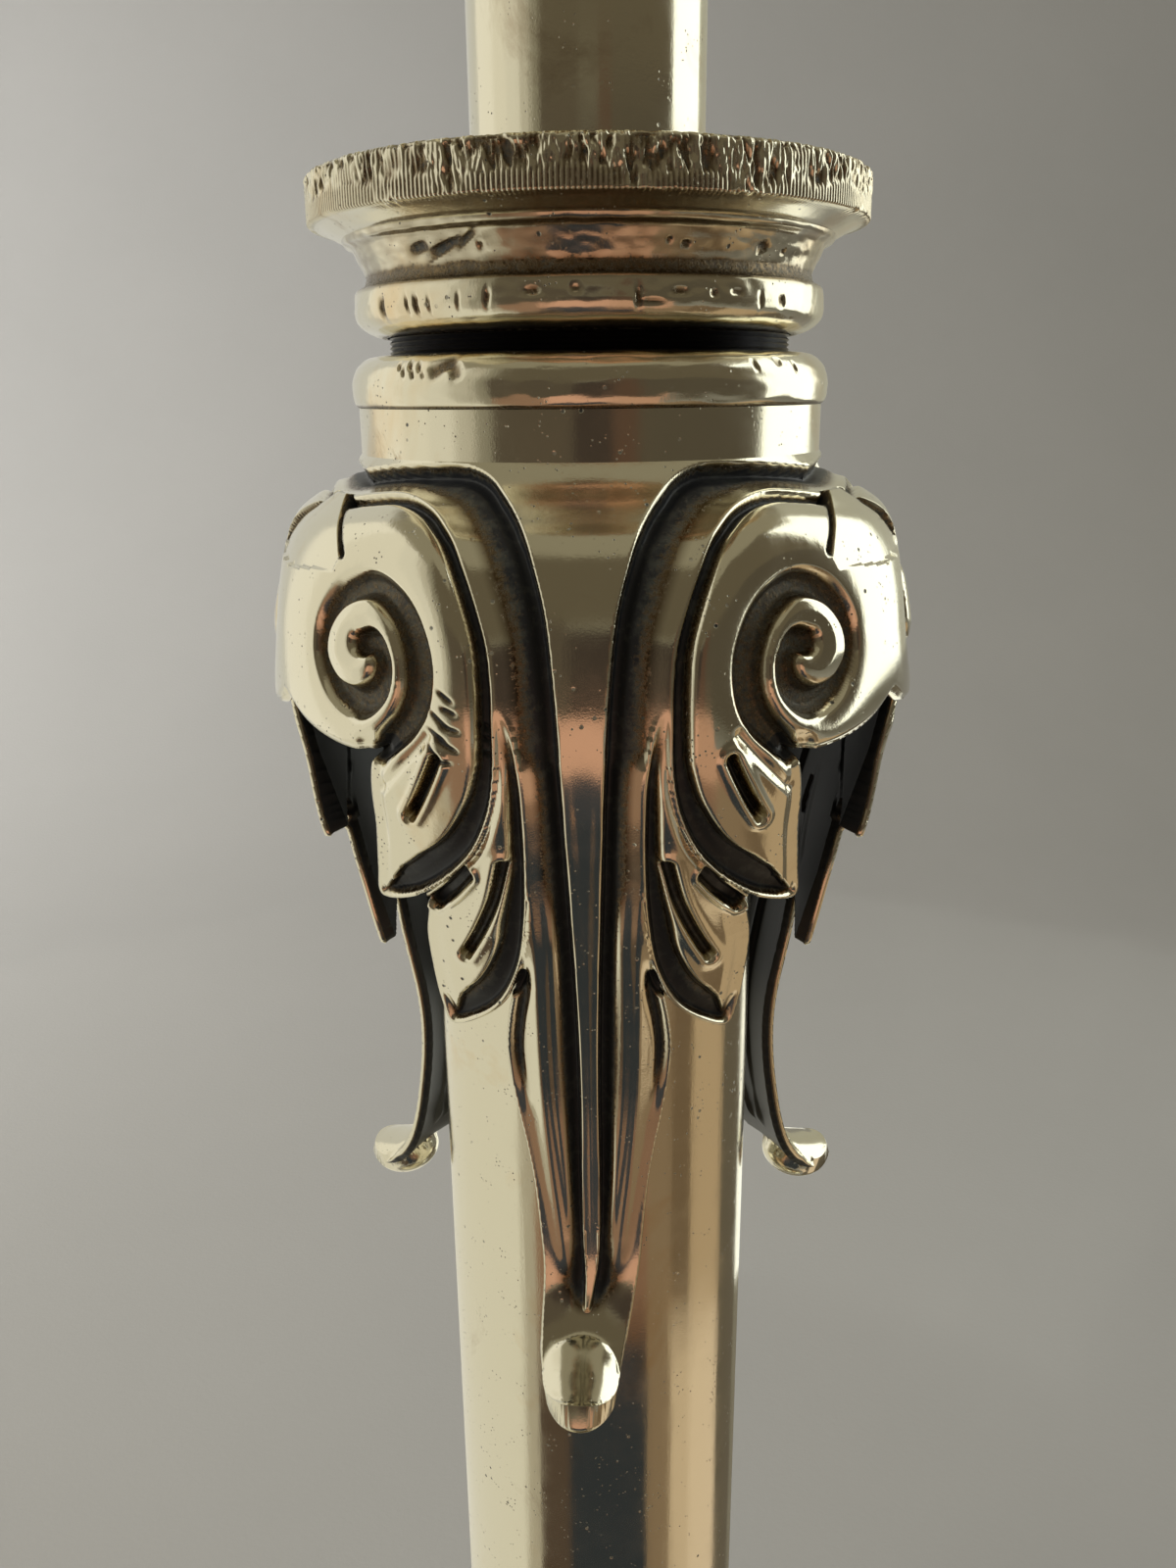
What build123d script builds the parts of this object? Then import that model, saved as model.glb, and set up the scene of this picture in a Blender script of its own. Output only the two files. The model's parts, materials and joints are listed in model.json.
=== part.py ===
from build123d import *
from math import cos, radians, sin
import os

# Telescopic floor candlestick: a plain column on a weighted round foot, a cast capital of three
# scrolled leaves, and a round tube that slides and turns in a screwed collet clamp and carries a
# drip pan with a candle socket.
# Origin: centre of the foot's underside. +Z is up, -Y is the front leaf's side.

os.makedirs("parts", exist_ok=True)

# ---- driving dimensions, millimetres ----
clamp_z = 580.0          # datum on the column, just under the clamp's half-round collar ring
foot_r = 150.0           # outer radius of the foot
column_r = 39.8          # lower column, outside
column_wall = 2.0
tube_r = 25.0            # sliding tube, outside
tube_wall = 2.0
flange_r = 59.9          # milled hand flange
neck_r = 51.4            # plain neck under the collar ring
collar_r = 52.6          # half-round collar ring
ring_r = 50.8            # lower ring of the clamp nut
thread_r = 44.0          # clamp thread, crest radius
thread_pitch = 0.98
bulge_r = 73.1           # capital at its widest
candle_r = 25.8          # candle hole of the loose nozzle

running = 0.05           # radial clearance of a running fit
free = 0.3               # gap between pieces that pass each other

# ---- heights worked out from the datum ----
neck_bottom = clamp_z - 13.6
neck_top = clamp_z - 3.8
collar_top = clamp_z + 6.0
thread_top = clamp_z + 27.0
ring_bottom = clamp_z + 12.4
ring_top = clamp_z + 18.0
flange_bottom = clamp_z + 29.8
flange_rim_bottom = clamp_z + 32.3
flange_top = clamp_z + 41.6
sleeve_bottom = clamp_z - 64.0
bore_r = column_r - column_wall
foot_top = 88.0
column_bottom = 92.0

lift_up = 151.0          # travel of the tube above the shown height
lift_down = 105.0        # travel below it
bush_height = 20.0
bush_top = sleeve_bottom - lift_up - 5.0    # leaves room for the clip over the bush
bush_bottom = bush_top - bush_height
tube_bottom = bush_bottom - 8.0
ferrule_bottom = flange_top + lift_down + 3.4
tube_top = ferrule_bottom + 5.0
pan_z = ferrule_bottom + 22.0


# ================================ foot ================================

pad_r = 144.0
pad_top = 2.5
plate_top = pad_top + 3.0
plate_screw_pitch_r = 100.0
plate_screw_count = 3
plate_screw_r = 3.0

with BuildPart() as felt_pad:
    Cylinder(pad_r, pad_top, align=(Align.CENTER, Align.CENTER, Align.MIN))
    fillet(felt_pad.edges().sort_by(Axis.Z)[0], 1.0)
felt_pad.part.label = "felt_pad"

with BuildPart() as base_plate:
    with BuildSketch(Plane.XY.offset(pad_top)):
        Circle(pad_r - 2.0)
    extrude(amount=plate_top - pad_top)
    with PolarLocations(plate_screw_pitch_r, plate_screw_count, start_angle=30):
        with Locations((0, 0, pad_top)):
            Cone(2.0 * plate_screw_r + 0.2, plate_screw_r + 0.2, plate_top - pad_top,
                 align=(Align.CENTER, Align.CENTER, Align.MIN), mode=Mode.SUBTRACT)
base_plate.part.label = "base_plate"

with BuildPart() as plate_screws:
    screw_tip = plate_top + 14.0
    with BuildSketch(Plane.XY.offset(plate_top)):
        with PolarLocations(plate_screw_pitch_r, plate_screw_count, start_angle=30):
            Circle(plate_screw_r)
    extrude(amount=screw_tip - plate_top)
    with PolarLocations(plate_screw_pitch_r, plate_screw_count, start_angle=30):
        with Locations((0, 0, pad_top + 0.2)):
            Cone(2.0 * plate_screw_r - 0.4, plate_screw_r, plate_top - pad_top - 0.2,
                 align=(Align.CENTER, Align.CENTER, Align.MIN))
plate_screws.part.label = "plate_screws"

weight_inner_r = 62.0
weight_outer_r = 124.0
weight_top = 30.0
with BuildPart() as base_weight:
    with BuildSketch(Plane.XZ):
        Polygon((weight_inner_r, plate_top), (weight_outer_r, plate_top),
                (weight_outer_r, weight_top - 10.0), (weight_outer_r - 22.0, weight_top),
                (weight_inner_r, weight_top), align=None)
    revolve(axis=Axis.Z)
    with BuildSketch(Plane.XY.offset(plate_top)):
        with PolarLocations(plate_screw_pitch_r, plate_screw_count, start_angle=30):
            Circle(plate_screw_r + 0.1)
    extrude(amount=screw_tip - plate_top + 2.0, mode=Mode.SUBTRACT)
base_weight.part.label = "base_weight"

# heavy turned rim that the spun foot stands in
rim_top = 15.0
rim_inner_r = pad_r
with BuildPart() as foot_rim:
    with BuildSketch(Plane.XZ):
        with BuildLine():
            Line((rim_inner_r, 1.0), (foot_r - 2.0, 1.0))
            ThreePointArc((foot_r - 2.0, 1.0), (foot_r, 5.5), (foot_r - 2.0, 10.0))
            Line((foot_r - 2.0, 10.0), (foot_r - 3.0, 10.0))
            Line((foot_r - 3.0, 10.0), (foot_r - 3.0, rim_top))
            Line((foot_r - 3.0, rim_top), (rim_inner_r, rim_top))
            Line((rim_inner_r, rim_top), (rim_inner_r, 1.0))
        make_face()
    revolve(axis=Axis.Z)
foot_rim.part.label = "foot_rim"

# spun foot: a half-round step, a long ogee and a fillet up to the column collar
shell_wall = 2.2
crown_r = 62.0
step_r = 128.0
step_z = 30.0
stud_r = 8.0
with BuildPart() as foot_shell:
    with BuildSketch(Plane.XZ):
        with BuildLine():
            outer_step = ThreePointArc((foot_r - 6.5, rim_top), (step_r + 10.5, 26.5), (step_r, step_z))
            outer_ogee = Spline(outer_step @ 1, (96.0, 44.0), (72.0, 70.0), (crown_r, foot_top),
                                tangents=((-1, 0.05), (-0.15, 1)))
            Line(outer_ogee @ 1, (stud_r + 0.3, foot_top))
            Line((stud_r + 0.3, foot_top), (stud_r + 0.3, foot_top - shell_wall))
            Line((stud_r + 0.3, foot_top - shell_wall), (crown_r - shell_wall, foot_top - shell_wall))
            inner_ogee = Spline((crown_r - shell_wall, foot_top - shell_wall), (70.0, 68.6),
                                (95.0, 41.9), (step_r, step_z - shell_wall),
                                tangents=((0.15, -1), (1, -0.05)))
            inner_step = ThreePointArc(inner_ogee @ 1, (step_r + 8.8, 24.9),
                                       (foot_r - 6.5 - shell_wall, rim_top))
            Line(inner_step @ 1, outer_step @ 0)
        make_face()
    revolve(axis=Axis.Z)
foot_shell.part.label = "foot_shell"


# ================================ lower column ================================

collar_base_top = foot_top + 44.0
with BuildPart() as column_socket:
    with BuildSketch(Plane.XZ):
        with BuildLine():
            Line((column_r, foot_top), (crown_r + 1.0, foot_top))
            ThreePointArc((crown_r + 1.0, foot_top), (crown_r + 5.0, foot_top + 6.0),
                          (crown_r + 1.0, foot_top + 12.0))
            Line((crown_r + 1.0, foot_top + 12.0), (crown_r - 6.0, foot_top + 13.5))
            Spline((crown_r - 6.0, foot_top + 13.5), (46.5, foot_top + 25.0), (47.0, foot_top + 34.0),
                   tangents=((-1, 0.3), (0.3, 1)))
            ThreePointArc((47.0, foot_top + 34.0), (50.0, foot_top + 38.0), (47.0, foot_top + 42.0))
            Line((47.0, foot_top + 42.0), (column_r + 2.0, collar_base_top))
            Line((column_r + 2.0, collar_base_top), (column_r, collar_base_top))
            Line((column_r, collar_base_top), (column_r, foot_top))
        make_face()
    revolve(axis=Axis.Z)
column_socket.part.label = "column_socket"

column_top = neck_top
with BuildPart() as lower_column:
    with BuildSketch(Plane.XY.offset(column_bottom)):
        Circle(column_r)
        Circle(bore_r, mode=Mode.SUBTRACT)
    extrude(amount=column_top - column_bottom)
lower_column.part.label = "lower_column"

# plug brazed in the column's lower end, and the stud, washer and nut that pull it to the foot
plug_top = column_bottom + 18.0
with BuildPart() as column_plug:
    with BuildSketch(Plane.XY.offset(foot_top)):
        Circle(column_r)
    extrude(amount=column_bottom - foot_top)
    with BuildSketch(Plane.XY.offset(column_bottom)):
        Circle(bore_r)
    extrude(amount=plug_top - column_bottom)
    with Locations((0, 0, plug_top)):
        Hole(stud_r)
    chamfer(column_plug.edges().filter_by(GeomType.CIRCLE).group_by(Axis.Z)[-1].sort_by(
        SortBy.RADIUS)[-1], 1.5)
column_plug.part.label = "column_plug"

washer_top = foot_top - shell_wall
washer_bottom = washer_top - 3.0
nut_height = 13.0
stud_bottom = washer_bottom - nut_height - 5.0
with BuildPart() as draw_stud:
    with BuildSketch(Plane.XY.offset(stud_bottom)):
        Circle(stud_r)
    extrude(amount=plug_top + 4.0 - stud_bottom)
    chamfer(draw_stud.edges().filter_by(GeomType.CIRCLE), 1.0)
draw_stud.part.label = "draw_stud"

with BuildPart() as draw_washer:
    with BuildSketch(Plane.XY.offset(washer_bottom)):
        Circle(38.0)
        Circle(stud_r + 0.3, mode=Mode.SUBTRACT)
    extrude(amount=washer_top - washer_bottom)
draw_washer.part.label = "draw_washer"

with BuildPart() as draw_nut:
    with BuildSketch(Plane.XY.offset(washer_bottom - nut_height)):
        RegularPolygon(radius=13.9, side_count=6)
        Circle(stud_r, mode=Mode.SUBTRACT)
    extrude(amount=nut_height)
draw_nut.part.label = "draw_nut"


# ================================ capital ================================

# ring brazed to the column, which the capital's hub stands on
seat_top = clamp_z - 46.0
with BuildPart() as seat_ring:
    with BuildSketch(Plane.XY.offset(seat_top - 7.0)):
        Circle(column_r + 5.0)
        Circle(column_r, mode=Mode.SUBTRACT)
    extrude(amount=7.0)
    chamfer(seat_ring.edges().filter_by(GeomType.CIRCLE).group_by(Axis.Z)[0].sort_by(
        SortBy.RADIUS)[-1], 3.0)
seat_ring.part.label = "seat_ring"

leaf_count = 3
leaf_wall = 5.0
hub_r = column_r + 8.0
free_edge = clamp_z - 67.0           # lower edge of the scrolls, between the leaves' lobes
knob_r = 9.4
knob_reach = 66.0
knob_z = clamp_z - 218.0

# outer face of the casting: (radius, depth under the datum), shoulder to the tail's curl
shoulder = [(52.2, 13.6), (62.0, 23.6), (68.6, 31.5), (71.6, 43.0), (bulge_r, 58.0), (72.6, 68.0)]
leaf_face = [(68.4, 90.0), (60.6, 116.0), (52.4, 142.0), (48.0, 166.0), (48.2, 188.0),
             (53.2, 207.0), (60.0, 214.0)]
# inner face, a wall's thickness inside
inner_leaf = [(57.5, 217.5), (49.0, 210.0), (44.0, 190.0), (43.8, 165.0), (47.8, 141.0),
              (55.8, 114.0), (63.6, 88.0), (67.6, 68.0)]
inner_shoulder = [(67.6, 68.0), (68.0, 58.0), (66.4, 44.0), (62.0, 33.0), (54.0, 26.5), (hub_r, 24.0)]


def at(points):
    """Turn (radius, depth) pairs into points of the section plane."""
    return [(r, clamp_z - depth) for r, depth in points]


# one half of the leaf's outline seen from the front: (half width, depth), scroll to knob
lobe_outline = [(44.0, 67.0), (46.4, 78.0), (46.2, 89.0), (42.8, 102.0), (35.5, 99.0), (33.5, 98.0),
                (37.0, 108.0), (36.6, 119.0), (31.8, 136.5), (25.0, 133.0), (18.6, 123.0),
                (18.0, 135.0), (15.9, 155.0), (13.8, 175.0), (11.9, 201.0), (9.4, 219.0)]

with BuildPart() as leaf:
    with BuildSketch(Plane.XZ):
        with BuildLine():
            face_curve = Spline(*at(shoulder[-1:] + leaf_face))
            Line(face_curve @ 1, at(inner_leaf)[0])
            back_curve = Spline(*at(inner_leaf))
            Line(back_curve @ 1, face_curve @ 0)
        make_face()
    revolve(axis=Axis.Z)
    with BuildSketch(Plane.XZ):
        with BuildLine():
            right_side = Polyline(*[(w, clamp_z - d) for w, d in lobe_outline])
            left_side = Polyline(*[(-w, clamp_z - d) for w, d in lobe_outline])
            Line(right_side @ 0, left_side @ 0)
            Line(right_side @ 1, left_side @ 1)
        make_face()
    extrude(amount=90.0, mode=Mode.INTERSECT)
    with Locations((0, -knob_reach, knob_z)):
        Sphere(knob_r)

scroll_r = bulge_r - 0.6
scroll_angles = [120.0 * k - 90.0 + side * 37.0 for k in range(leaf_count) for side in (-1, 1)]
scroll_z = clamp_z - 50.0

with BuildPart() as capital:
    with BuildSketch(Plane.XZ):
        with BuildLine():
            outer_shoulder = Spline(*at(shoulder))
            Line(outer_shoulder @ 1, at(inner_shoulder)[0])
            under_shoulder = Spline(*at(inner_shoulder))
            Line(under_shoulder @ 1, (hub_r, seat_top))
            Line((hub_r, seat_top), (column_r, seat_top))
            Line((column_r, seat_top), (column_r, neck_bottom))
            Line((column_r, neck_bottom), outer_shoulder @ 0)
        make_face()
    revolve(axis=Axis.Z)
    for k in range(leaf_count):
        add(leaf.part, rotation=(0, 0, 360.0 / leaf_count * k))
    # round groove of each scroll
    for angle in scroll_angles:
        outward = Vector(cos(radians(angle)), sin(radians(angle)), 0)
        with Locations(Plane(origin=outward * scroll_r + Vector(0, 0, scroll_z), z_dir=outward)):
            Torus(12.5, 2.4, mode=Mode.SUBTRACT)
capital.part.label = "capital"

with BuildPart() as neck_band:
    with BuildSketch(Plane.XY.offset(neck_bottom)):
        Circle(neck_r)
        Circle(column_r, mode=Mode.SUBTRACT)
    extrude(amount=neck_top - neck_bottom)
neck_band.part.label = "neck_band"


# ================================ clamp ================================

with BuildPart() as collar_ring:
    with BuildSketch(Plane.XZ):
        with BuildLine():
            Line((thread_r, neck_top), (neck_r - 0.9, neck_top))
            Line((neck_r - 0.9, neck_top), (neck_r - 0.9, neck_top + 0.6))
            ThreePointArc((neck_r - 0.9, neck_top + 0.6), (collar_r, clamp_z + 1.4),
                          (neck_r - 2.6, collar_top))
            Line((neck_r - 2.6, collar_top), (thread_r, collar_top))
            Line((thread_r, collar_top), (thread_r, neck_top))
        make_face()
    revolve(axis=Axis.Z)
collar_ring.part.label = "collar_ring"

# socket of the clamp: a spigot in the column, a coned mouth and a fine outside thread
bush_r = 28.5
mouth_r = 34.5
cone_bottom = clamp_z - 3.0
thread_depth = 0.55
thread_turns = int((thread_top - collar_top) / thread_pitch)
thread_profile = []
for turn in range(thread_turns):
    root_z = collar_top + turn * thread_pitch
    thread_profile += [(thread_r - thread_depth, root_z), (thread_r, root_z + thread_pitch / 2)]

with BuildPart() as thread_sleeve:
    with BuildSketch(Plane.XZ):
        Polygon((bush_r, sleeve_bottom), (bore_r, sleeve_bottom), (bore_r, column_top),
                (thread_r, column_top), (thread_r, collar_top - 0.01), *thread_profile,
                (thread_r - thread_depth, thread_top), (mouth_r, thread_top),
                (bush_r, cone_bottom), align=None)
    revolve(axis=Axis.Z)
thread_sleeve.part.label = "thread_sleeve"

with BuildPart() as upper_bush:
    with BuildSketch(Plane.XY.offset(sleeve_bottom)):
        Circle(bush_r)
        Circle(tube_r + running, mode=Mode.SUBTRACT)
    extrude(amount=cone_bottom - 1.0 - sleeve_bottom)
upper_bush.part.label = "upper_bush"

# split cone that the nut squeezes on to the tube
collet_top = clamp_z + 28.5
collet_bottom = clamp_z + 2.0
slit_count = 6
slit_width = 1.4
cone_slope = (mouth_r - bush_r) / (thread_top - cone_bottom)
cone_gap = 0.02


def cone_r(z):
    """Radius of the coned mouth at height z."""
    return bush_r + cone_slope * (z - cone_bottom) - cone_gap


with BuildPart() as split_collet:
    with BuildSketch(Plane.XZ):
        Polygon((tube_r + running, collet_bottom), (cone_r(collet_bottom), collet_bottom),
                (cone_r(thread_top), thread_top), (cone_r(thread_top), collet_top),
                (tube_r + running, collet_top), align=None)
    revolve(axis=Axis.Z)
    with BuildSketch(Plane.XY.offset(collet_bottom)):
        with PolarLocations(tube_r + 6.0, slit_count):
            Rectangle(16.0, slit_width)
    extrude(amount=collet_top - 4.0 - collet_bottom, mode=Mode.SUBTRACT)
split_collet.part.label = "split_collet"

thrust_r = 38.0
thrust_bottom = collet_top + 0.05
thrust_top = thrust_bottom + 3.5
with BuildPart() as thrust_ring:
    with BuildSketch(Plane.XY.offset(thrust_bottom)):
        Circle(thrust_r)
        Circle(tube_r + free, mode=Mode.SUBTRACT)
    extrude(amount=thrust_top - thrust_bottom)
    chamfer(thrust_ring.edges().filter_by(GeomType.CIRCLE).group_by(Axis.Z)[0].sort_by(
        SortBy.RADIUS)[-1], 0.8)
thrust_ring.part.label = "thrust_ring"

# clamp nut: a plain lower ring and a hollow neck, screwed under the milled flange
waist_r = 48.2
waist_z = clamp_z + 22.6
shoulder_r = 53.2
nut_bore_r = thread_r + running
with BuildPart() as clamp_nut:
    with BuildSketch(Plane.XZ):
        with BuildLine():
            Line((nut_bore_r, ring_bottom), (ring_r - 0.8, ring_bottom))
            Line((ring_r - 0.8, ring_bottom), (ring_r, ring_bottom + 0.8))
            Line((ring_r, ring_bottom + 0.8), (ring_r, ring_top - 0.7))
            Line((ring_r, ring_top - 0.7), (ring_r - 0.7, ring_top))
            cove = ThreePointArc((ring_r - 0.7, ring_top), (waist_r, waist_z),
                                 (shoulder_r, flange_bottom))
            Line(cove @ 1, (nut_bore_r, flange_bottom))
            Line((nut_bore_r, flange_bottom), (nut_bore_r, ring_bottom))
        make_face()
    revolve(axis=Axis.Z)
clamp_nut.part.label = "clamp_nut"

with BuildPart() as milled_flange:
    with BuildSketch(Plane.XZ):
        with BuildLine():
            Line((thrust_r + running, flange_bottom), (shoulder_r, flange_bottom))
            Line((shoulder_r, flange_bottom), (flange_r - 1.2, flange_rim_bottom))
            Line((flange_r - 1.2, flange_rim_bottom), (flange_r, flange_rim_bottom + 1.2))
            Line((flange_r, flange_rim_bottom + 1.2), (flange_r, flange_top - 1.2))
            Line((flange_r, flange_top - 1.2), (flange_r - 1.2, flange_top))
            Line((flange_r - 1.2, flange_top), (34.0, flange_top))
            ThreePointArc((34.0, flange_top), (31.8, flange_top - 1.4), (29.6, flange_top))
            Line((29.6, flange_top), (tube_r + free, flange_top))
            Line((tube_r + free, flange_top), (tube_r + free, thrust_top + 0.05))
            Line((tube_r + free, thrust_top + 0.05), (thrust_r + running, thrust_top + 0.05))
            Line((thrust_r + running, thrust_top + 0.05), (thrust_r + running, flange_bottom))
        make_face()
    revolve(axis=Axis.Z)
milled_flange.part.label = "milled_flange"


# ================================ sliding tube ================================

clip_section = 2.5
with BuildPart() as sliding_tube:
    with BuildSketch(Plane.XY.offset(tube_bottom)):
        Circle(tube_r)
        Circle(tube_r - tube_wall, mode=Mode.SUBTRACT)
    extrude(amount=tube_top - tube_bottom)
sliding_tube.part.label = "sliding_tube"

with BuildPart() as guide_bush:
    with BuildSketch(Plane.XY.offset(bush_bottom)):
        Circle(bore_r - running)
        Circle(tube_r + running, mode=Mode.SUBTRACT)
    extrude(amount=bush_height)
    chamfer(guide_bush.edges().filter_by(GeomType.CIRCLE).sort_by(SortBy.RADIUS)[-2:], 1.0)
guide_bush.part.label = "guide_bush"

for clip_name, clip_z in (("upper_clip", bush_top + free), ("lower_clip", bush_bottom - free - clip_section)):
    with BuildPart() as clip:
        with BuildSketch(Plane.XY.offset(clip_z)):
            Circle(tube_r + 4.0)
            Circle(tube_r, mode=Mode.SUBTRACT)
            with Locations((tube_r + 2.0, 0)):
                Rectangle(6.0, 5.0, mode=Mode.SUBTRACT)
        extrude(amount=clip_section)
    clip.part.label = clip_name
    export_step(clip.part, f"parts/{clip_name}.step")

# turned ferrule on the tube's top: a plug in the tube, a half-round ring and a cove under the pan
spigot_bottom = tube_top - 34.0
with BuildPart() as tube_ferrule:
    with BuildSketch(Plane.XZ):
        with BuildLine():
            Line((5.0, spigot_bottom), (tube_r - tube_wall, spigot_bottom))
            Line((tube_r - tube_wall, spigot_bottom), (tube_r - tube_wall, tube_top))
            Line((tube_r - tube_wall, tube_top), (tube_r, tube_top))
            Line((tube_r, tube_top), (tube_r, ferrule_bottom))
            Line((tube_r, ferrule_bottom), (tube_r + 4.0, ferrule_bottom))
            ThreePointArc((tube_r + 4.0, ferrule_bottom), (tube_r + 7.6, ferrule_bottom + 4.0),
                          (tube_r + 4.0, ferrule_bottom + 8.0))
            Line((tube_r + 4.0, ferrule_bottom + 8.0), (tube_r + 3.2, ferrule_bottom + 9.0))
            ThreePointArc((tube_r + 3.2, ferrule_bottom + 9.0), (tube_r + 5.0, ferrule_bottom + 16.5),
                          (tube_r + 13.0, pan_z - 2.0))
            Line((tube_r + 13.0, pan_z - 2.0), (tube_r + 13.0, pan_z))
            Line((tube_r + 13.0, pan_z), (5.0, pan_z))
            Line((5.0, pan_z), (5.0, spigot_bottom))
        make_face()
    revolve(axis=Axis.Z)
tube_ferrule.part.label = "tube_ferrule"


# ================================ pan and socket ================================

pan_r = 84.0
pan_floor_r = 66.0
pan_wall = 2.0
pan_depth = 13.0
fixing_r = 5.0
with BuildPart() as drip_pan:
    with BuildSketch(Plane.XZ):
        with BuildLine():
            Line((fixing_r + 0.2, pan_z), (pan_floor_r, pan_z))
            wall_out = ThreePointArc((pan_floor_r, pan_z), (pan_r - 5.5, pan_z + 4.6),
                                     (pan_r - 1.6, pan_z + pan_depth))
            ThreePointArc(wall_out @ 1, (pan_r, pan_z + pan_depth + 1.7),
                          (pan_r - 1.6, pan_z + pan_depth + 3.2))
            ThreePointArc((pan_r - 1.6, pan_z + pan_depth + 3.2), (pan_r - 3.4, pan_z + pan_depth + 2.2),
                          (pan_r - 3.7, pan_z + pan_depth))
            ThreePointArc((pan_r - 3.7, pan_z + pan_depth), (pan_r - 7.2, pan_z + 6.2),
                          (pan_floor_r, pan_z + pan_wall))
            Line((pan_floor_r, pan_z + pan_wall), (fixing_r + 0.2, pan_z + pan_wall))
            Line((fixing_r + 0.2, pan_z + pan_wall), (fixing_r + 0.2, pan_z))
        make_face()
    revolve(axis=Axis.Z)
drip_pan.part.label = "drip_pan"

socket_foot = pan_z + pan_wall
socket_floor = socket_foot + 9.0
socket_top = socket_foot + 62.0
cup_r = candle_r + 2.0
with BuildPart() as candle_socket:
    with BuildSketch(Plane.XZ):
        with BuildLine():
            Line((fixing_r + 0.2, socket_foot), (34.0, socket_foot))
            ThreePointArc((34.0, socket_foot), (36.4, socket_foot + 2.6), (34.0, socket_foot + 5.2))
            Line((34.0, socket_foot + 5.2), (31.5, socket_foot + 6.4))
            Spline((31.5, socket_foot + 6.4), (31.0, socket_foot + 12.0), (35.6, socket_foot + 28.0),
                   (32.0, socket_foot + 47.0), (35.4, socket_top - 3.0),
                   tangents=((-0.4, 1), (0.5, 1)))
            Line((35.4, socket_top - 3.0), (36.2, socket_top - 3.0))
            Line((36.2, socket_top - 3.0), (36.2, socket_top))
            Line((36.2, socket_top), (cup_r + 0.35, socket_top))
            Line((cup_r + 0.35, socket_top), (cup_r + 0.35, socket_floor))
            Line((cup_r + 0.35, socket_floor), (fixing_r + 0.2, socket_floor))
            Line((fixing_r + 0.2, socket_floor), (fixing_r + 0.2, socket_foot))
        make_face()
    revolve(axis=Axis.Z)
candle_socket.part.label = "candle_socket"

screw_head_top = socket_floor + 6.0
with BuildPart() as socket_screw:
    with BuildSketch(Plane.XY.offset(spigot_bottom + 8.0)):
        Circle(fixing_r)
    extrude(amount=socket_floor - spigot_bottom - 8.0)
    with BuildSketch(Plane.XY.offset(socket_floor)):
        Circle(9.0)
    extrude(amount=screw_head_top - socket_floor)
    with BuildSketch(Plane.XY.offset(screw_head_top)):
        Rectangle(18.5, 2.0)
    extrude(amount=-2.2, mode=Mode.SUBTRACT)
socket_screw.part.label = "socket_screw"

# loose nozzle: a cup that drops into the socket and lifts out with the candle's stub
lip_r = 39.0
nozzle_floor = screw_head_top + 1.5
nozzle_top = socket_top + 3.2
with BuildPart() as loose_nozzle:
    with BuildSketch(Plane.XZ):
        with BuildLine():
            Line((0, nozzle_floor), (cup_r - 1.0, nozzle_floor))
            Line((cup_r - 1.0, nozzle_floor), (cup_r, nozzle_floor + 1.0))
            Line((cup_r, nozzle_floor + 1.0), (cup_r, socket_top + 0.05))
            Line((cup_r, socket_top + 0.05), (lip_r - 1.4, socket_top + 0.05))
            ThreePointArc((lip_r - 1.4, socket_top + 0.05), (lip_r, socket_top + 1.6),
                          (lip_r - 1.4, nozzle_top))
            Line((lip_r - 1.4, nozzle_top), (candle_r + 1.6, nozzle_top - 0.8))
            Line((candle_r + 1.6, nozzle_top - 0.8), (candle_r, nozzle_top - 2.4))
            Line((candle_r, nozzle_top - 2.4), (candle_r, nozzle_floor + 2.0))
            Line((candle_r, nozzle_floor + 2.0), (0, nozzle_floor + 2.0))
            Line((0, nozzle_floor + 2.0), (0, nozzle_floor))
        make_face()
    revolve(axis=Axis.Z)
loose_nozzle.part.label = "loose_nozzle"

pieces = (
    felt_pad, base_plate, plate_screws, base_weight, foot_rim, foot_shell, column_socket,
    lower_column, column_plug, draw_stud, draw_washer, draw_nut, seat_ring, capital, neck_band,
    collar_ring, thread_sleeve, upper_bush, split_collet, thrust_ring, clamp_nut, milled_flange,
    sliding_tube, guide_bush, tube_ferrule, drip_pan, candle_socket, socket_screw, loose_nozzle,
)
for piece in pieces:
    export_step(piece.part, f"parts/{piece.part.label}.step")
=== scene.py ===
"""Looks of the adjustable silver-plated candlestick: sculpted capital, worn clamp, plate and patina."""

import json
import math

import bpy
import numpy as np
from mathutils import Matrix, Vector

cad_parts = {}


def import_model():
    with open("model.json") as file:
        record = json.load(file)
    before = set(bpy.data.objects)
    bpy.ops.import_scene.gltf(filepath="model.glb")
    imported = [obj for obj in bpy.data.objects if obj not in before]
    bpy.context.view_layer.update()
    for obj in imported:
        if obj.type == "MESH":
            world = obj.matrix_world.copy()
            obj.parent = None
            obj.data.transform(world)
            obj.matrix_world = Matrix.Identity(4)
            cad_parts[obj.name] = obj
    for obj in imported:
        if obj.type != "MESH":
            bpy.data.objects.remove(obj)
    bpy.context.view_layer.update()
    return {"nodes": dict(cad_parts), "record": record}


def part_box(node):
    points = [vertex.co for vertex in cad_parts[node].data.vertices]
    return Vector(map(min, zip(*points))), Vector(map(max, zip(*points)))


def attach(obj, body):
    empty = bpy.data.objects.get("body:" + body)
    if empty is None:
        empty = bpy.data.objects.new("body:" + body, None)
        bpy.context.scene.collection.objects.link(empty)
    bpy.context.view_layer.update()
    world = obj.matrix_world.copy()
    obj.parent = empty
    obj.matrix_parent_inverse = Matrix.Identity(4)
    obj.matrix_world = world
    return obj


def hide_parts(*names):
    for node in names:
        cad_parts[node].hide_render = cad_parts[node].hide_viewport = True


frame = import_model()

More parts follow.
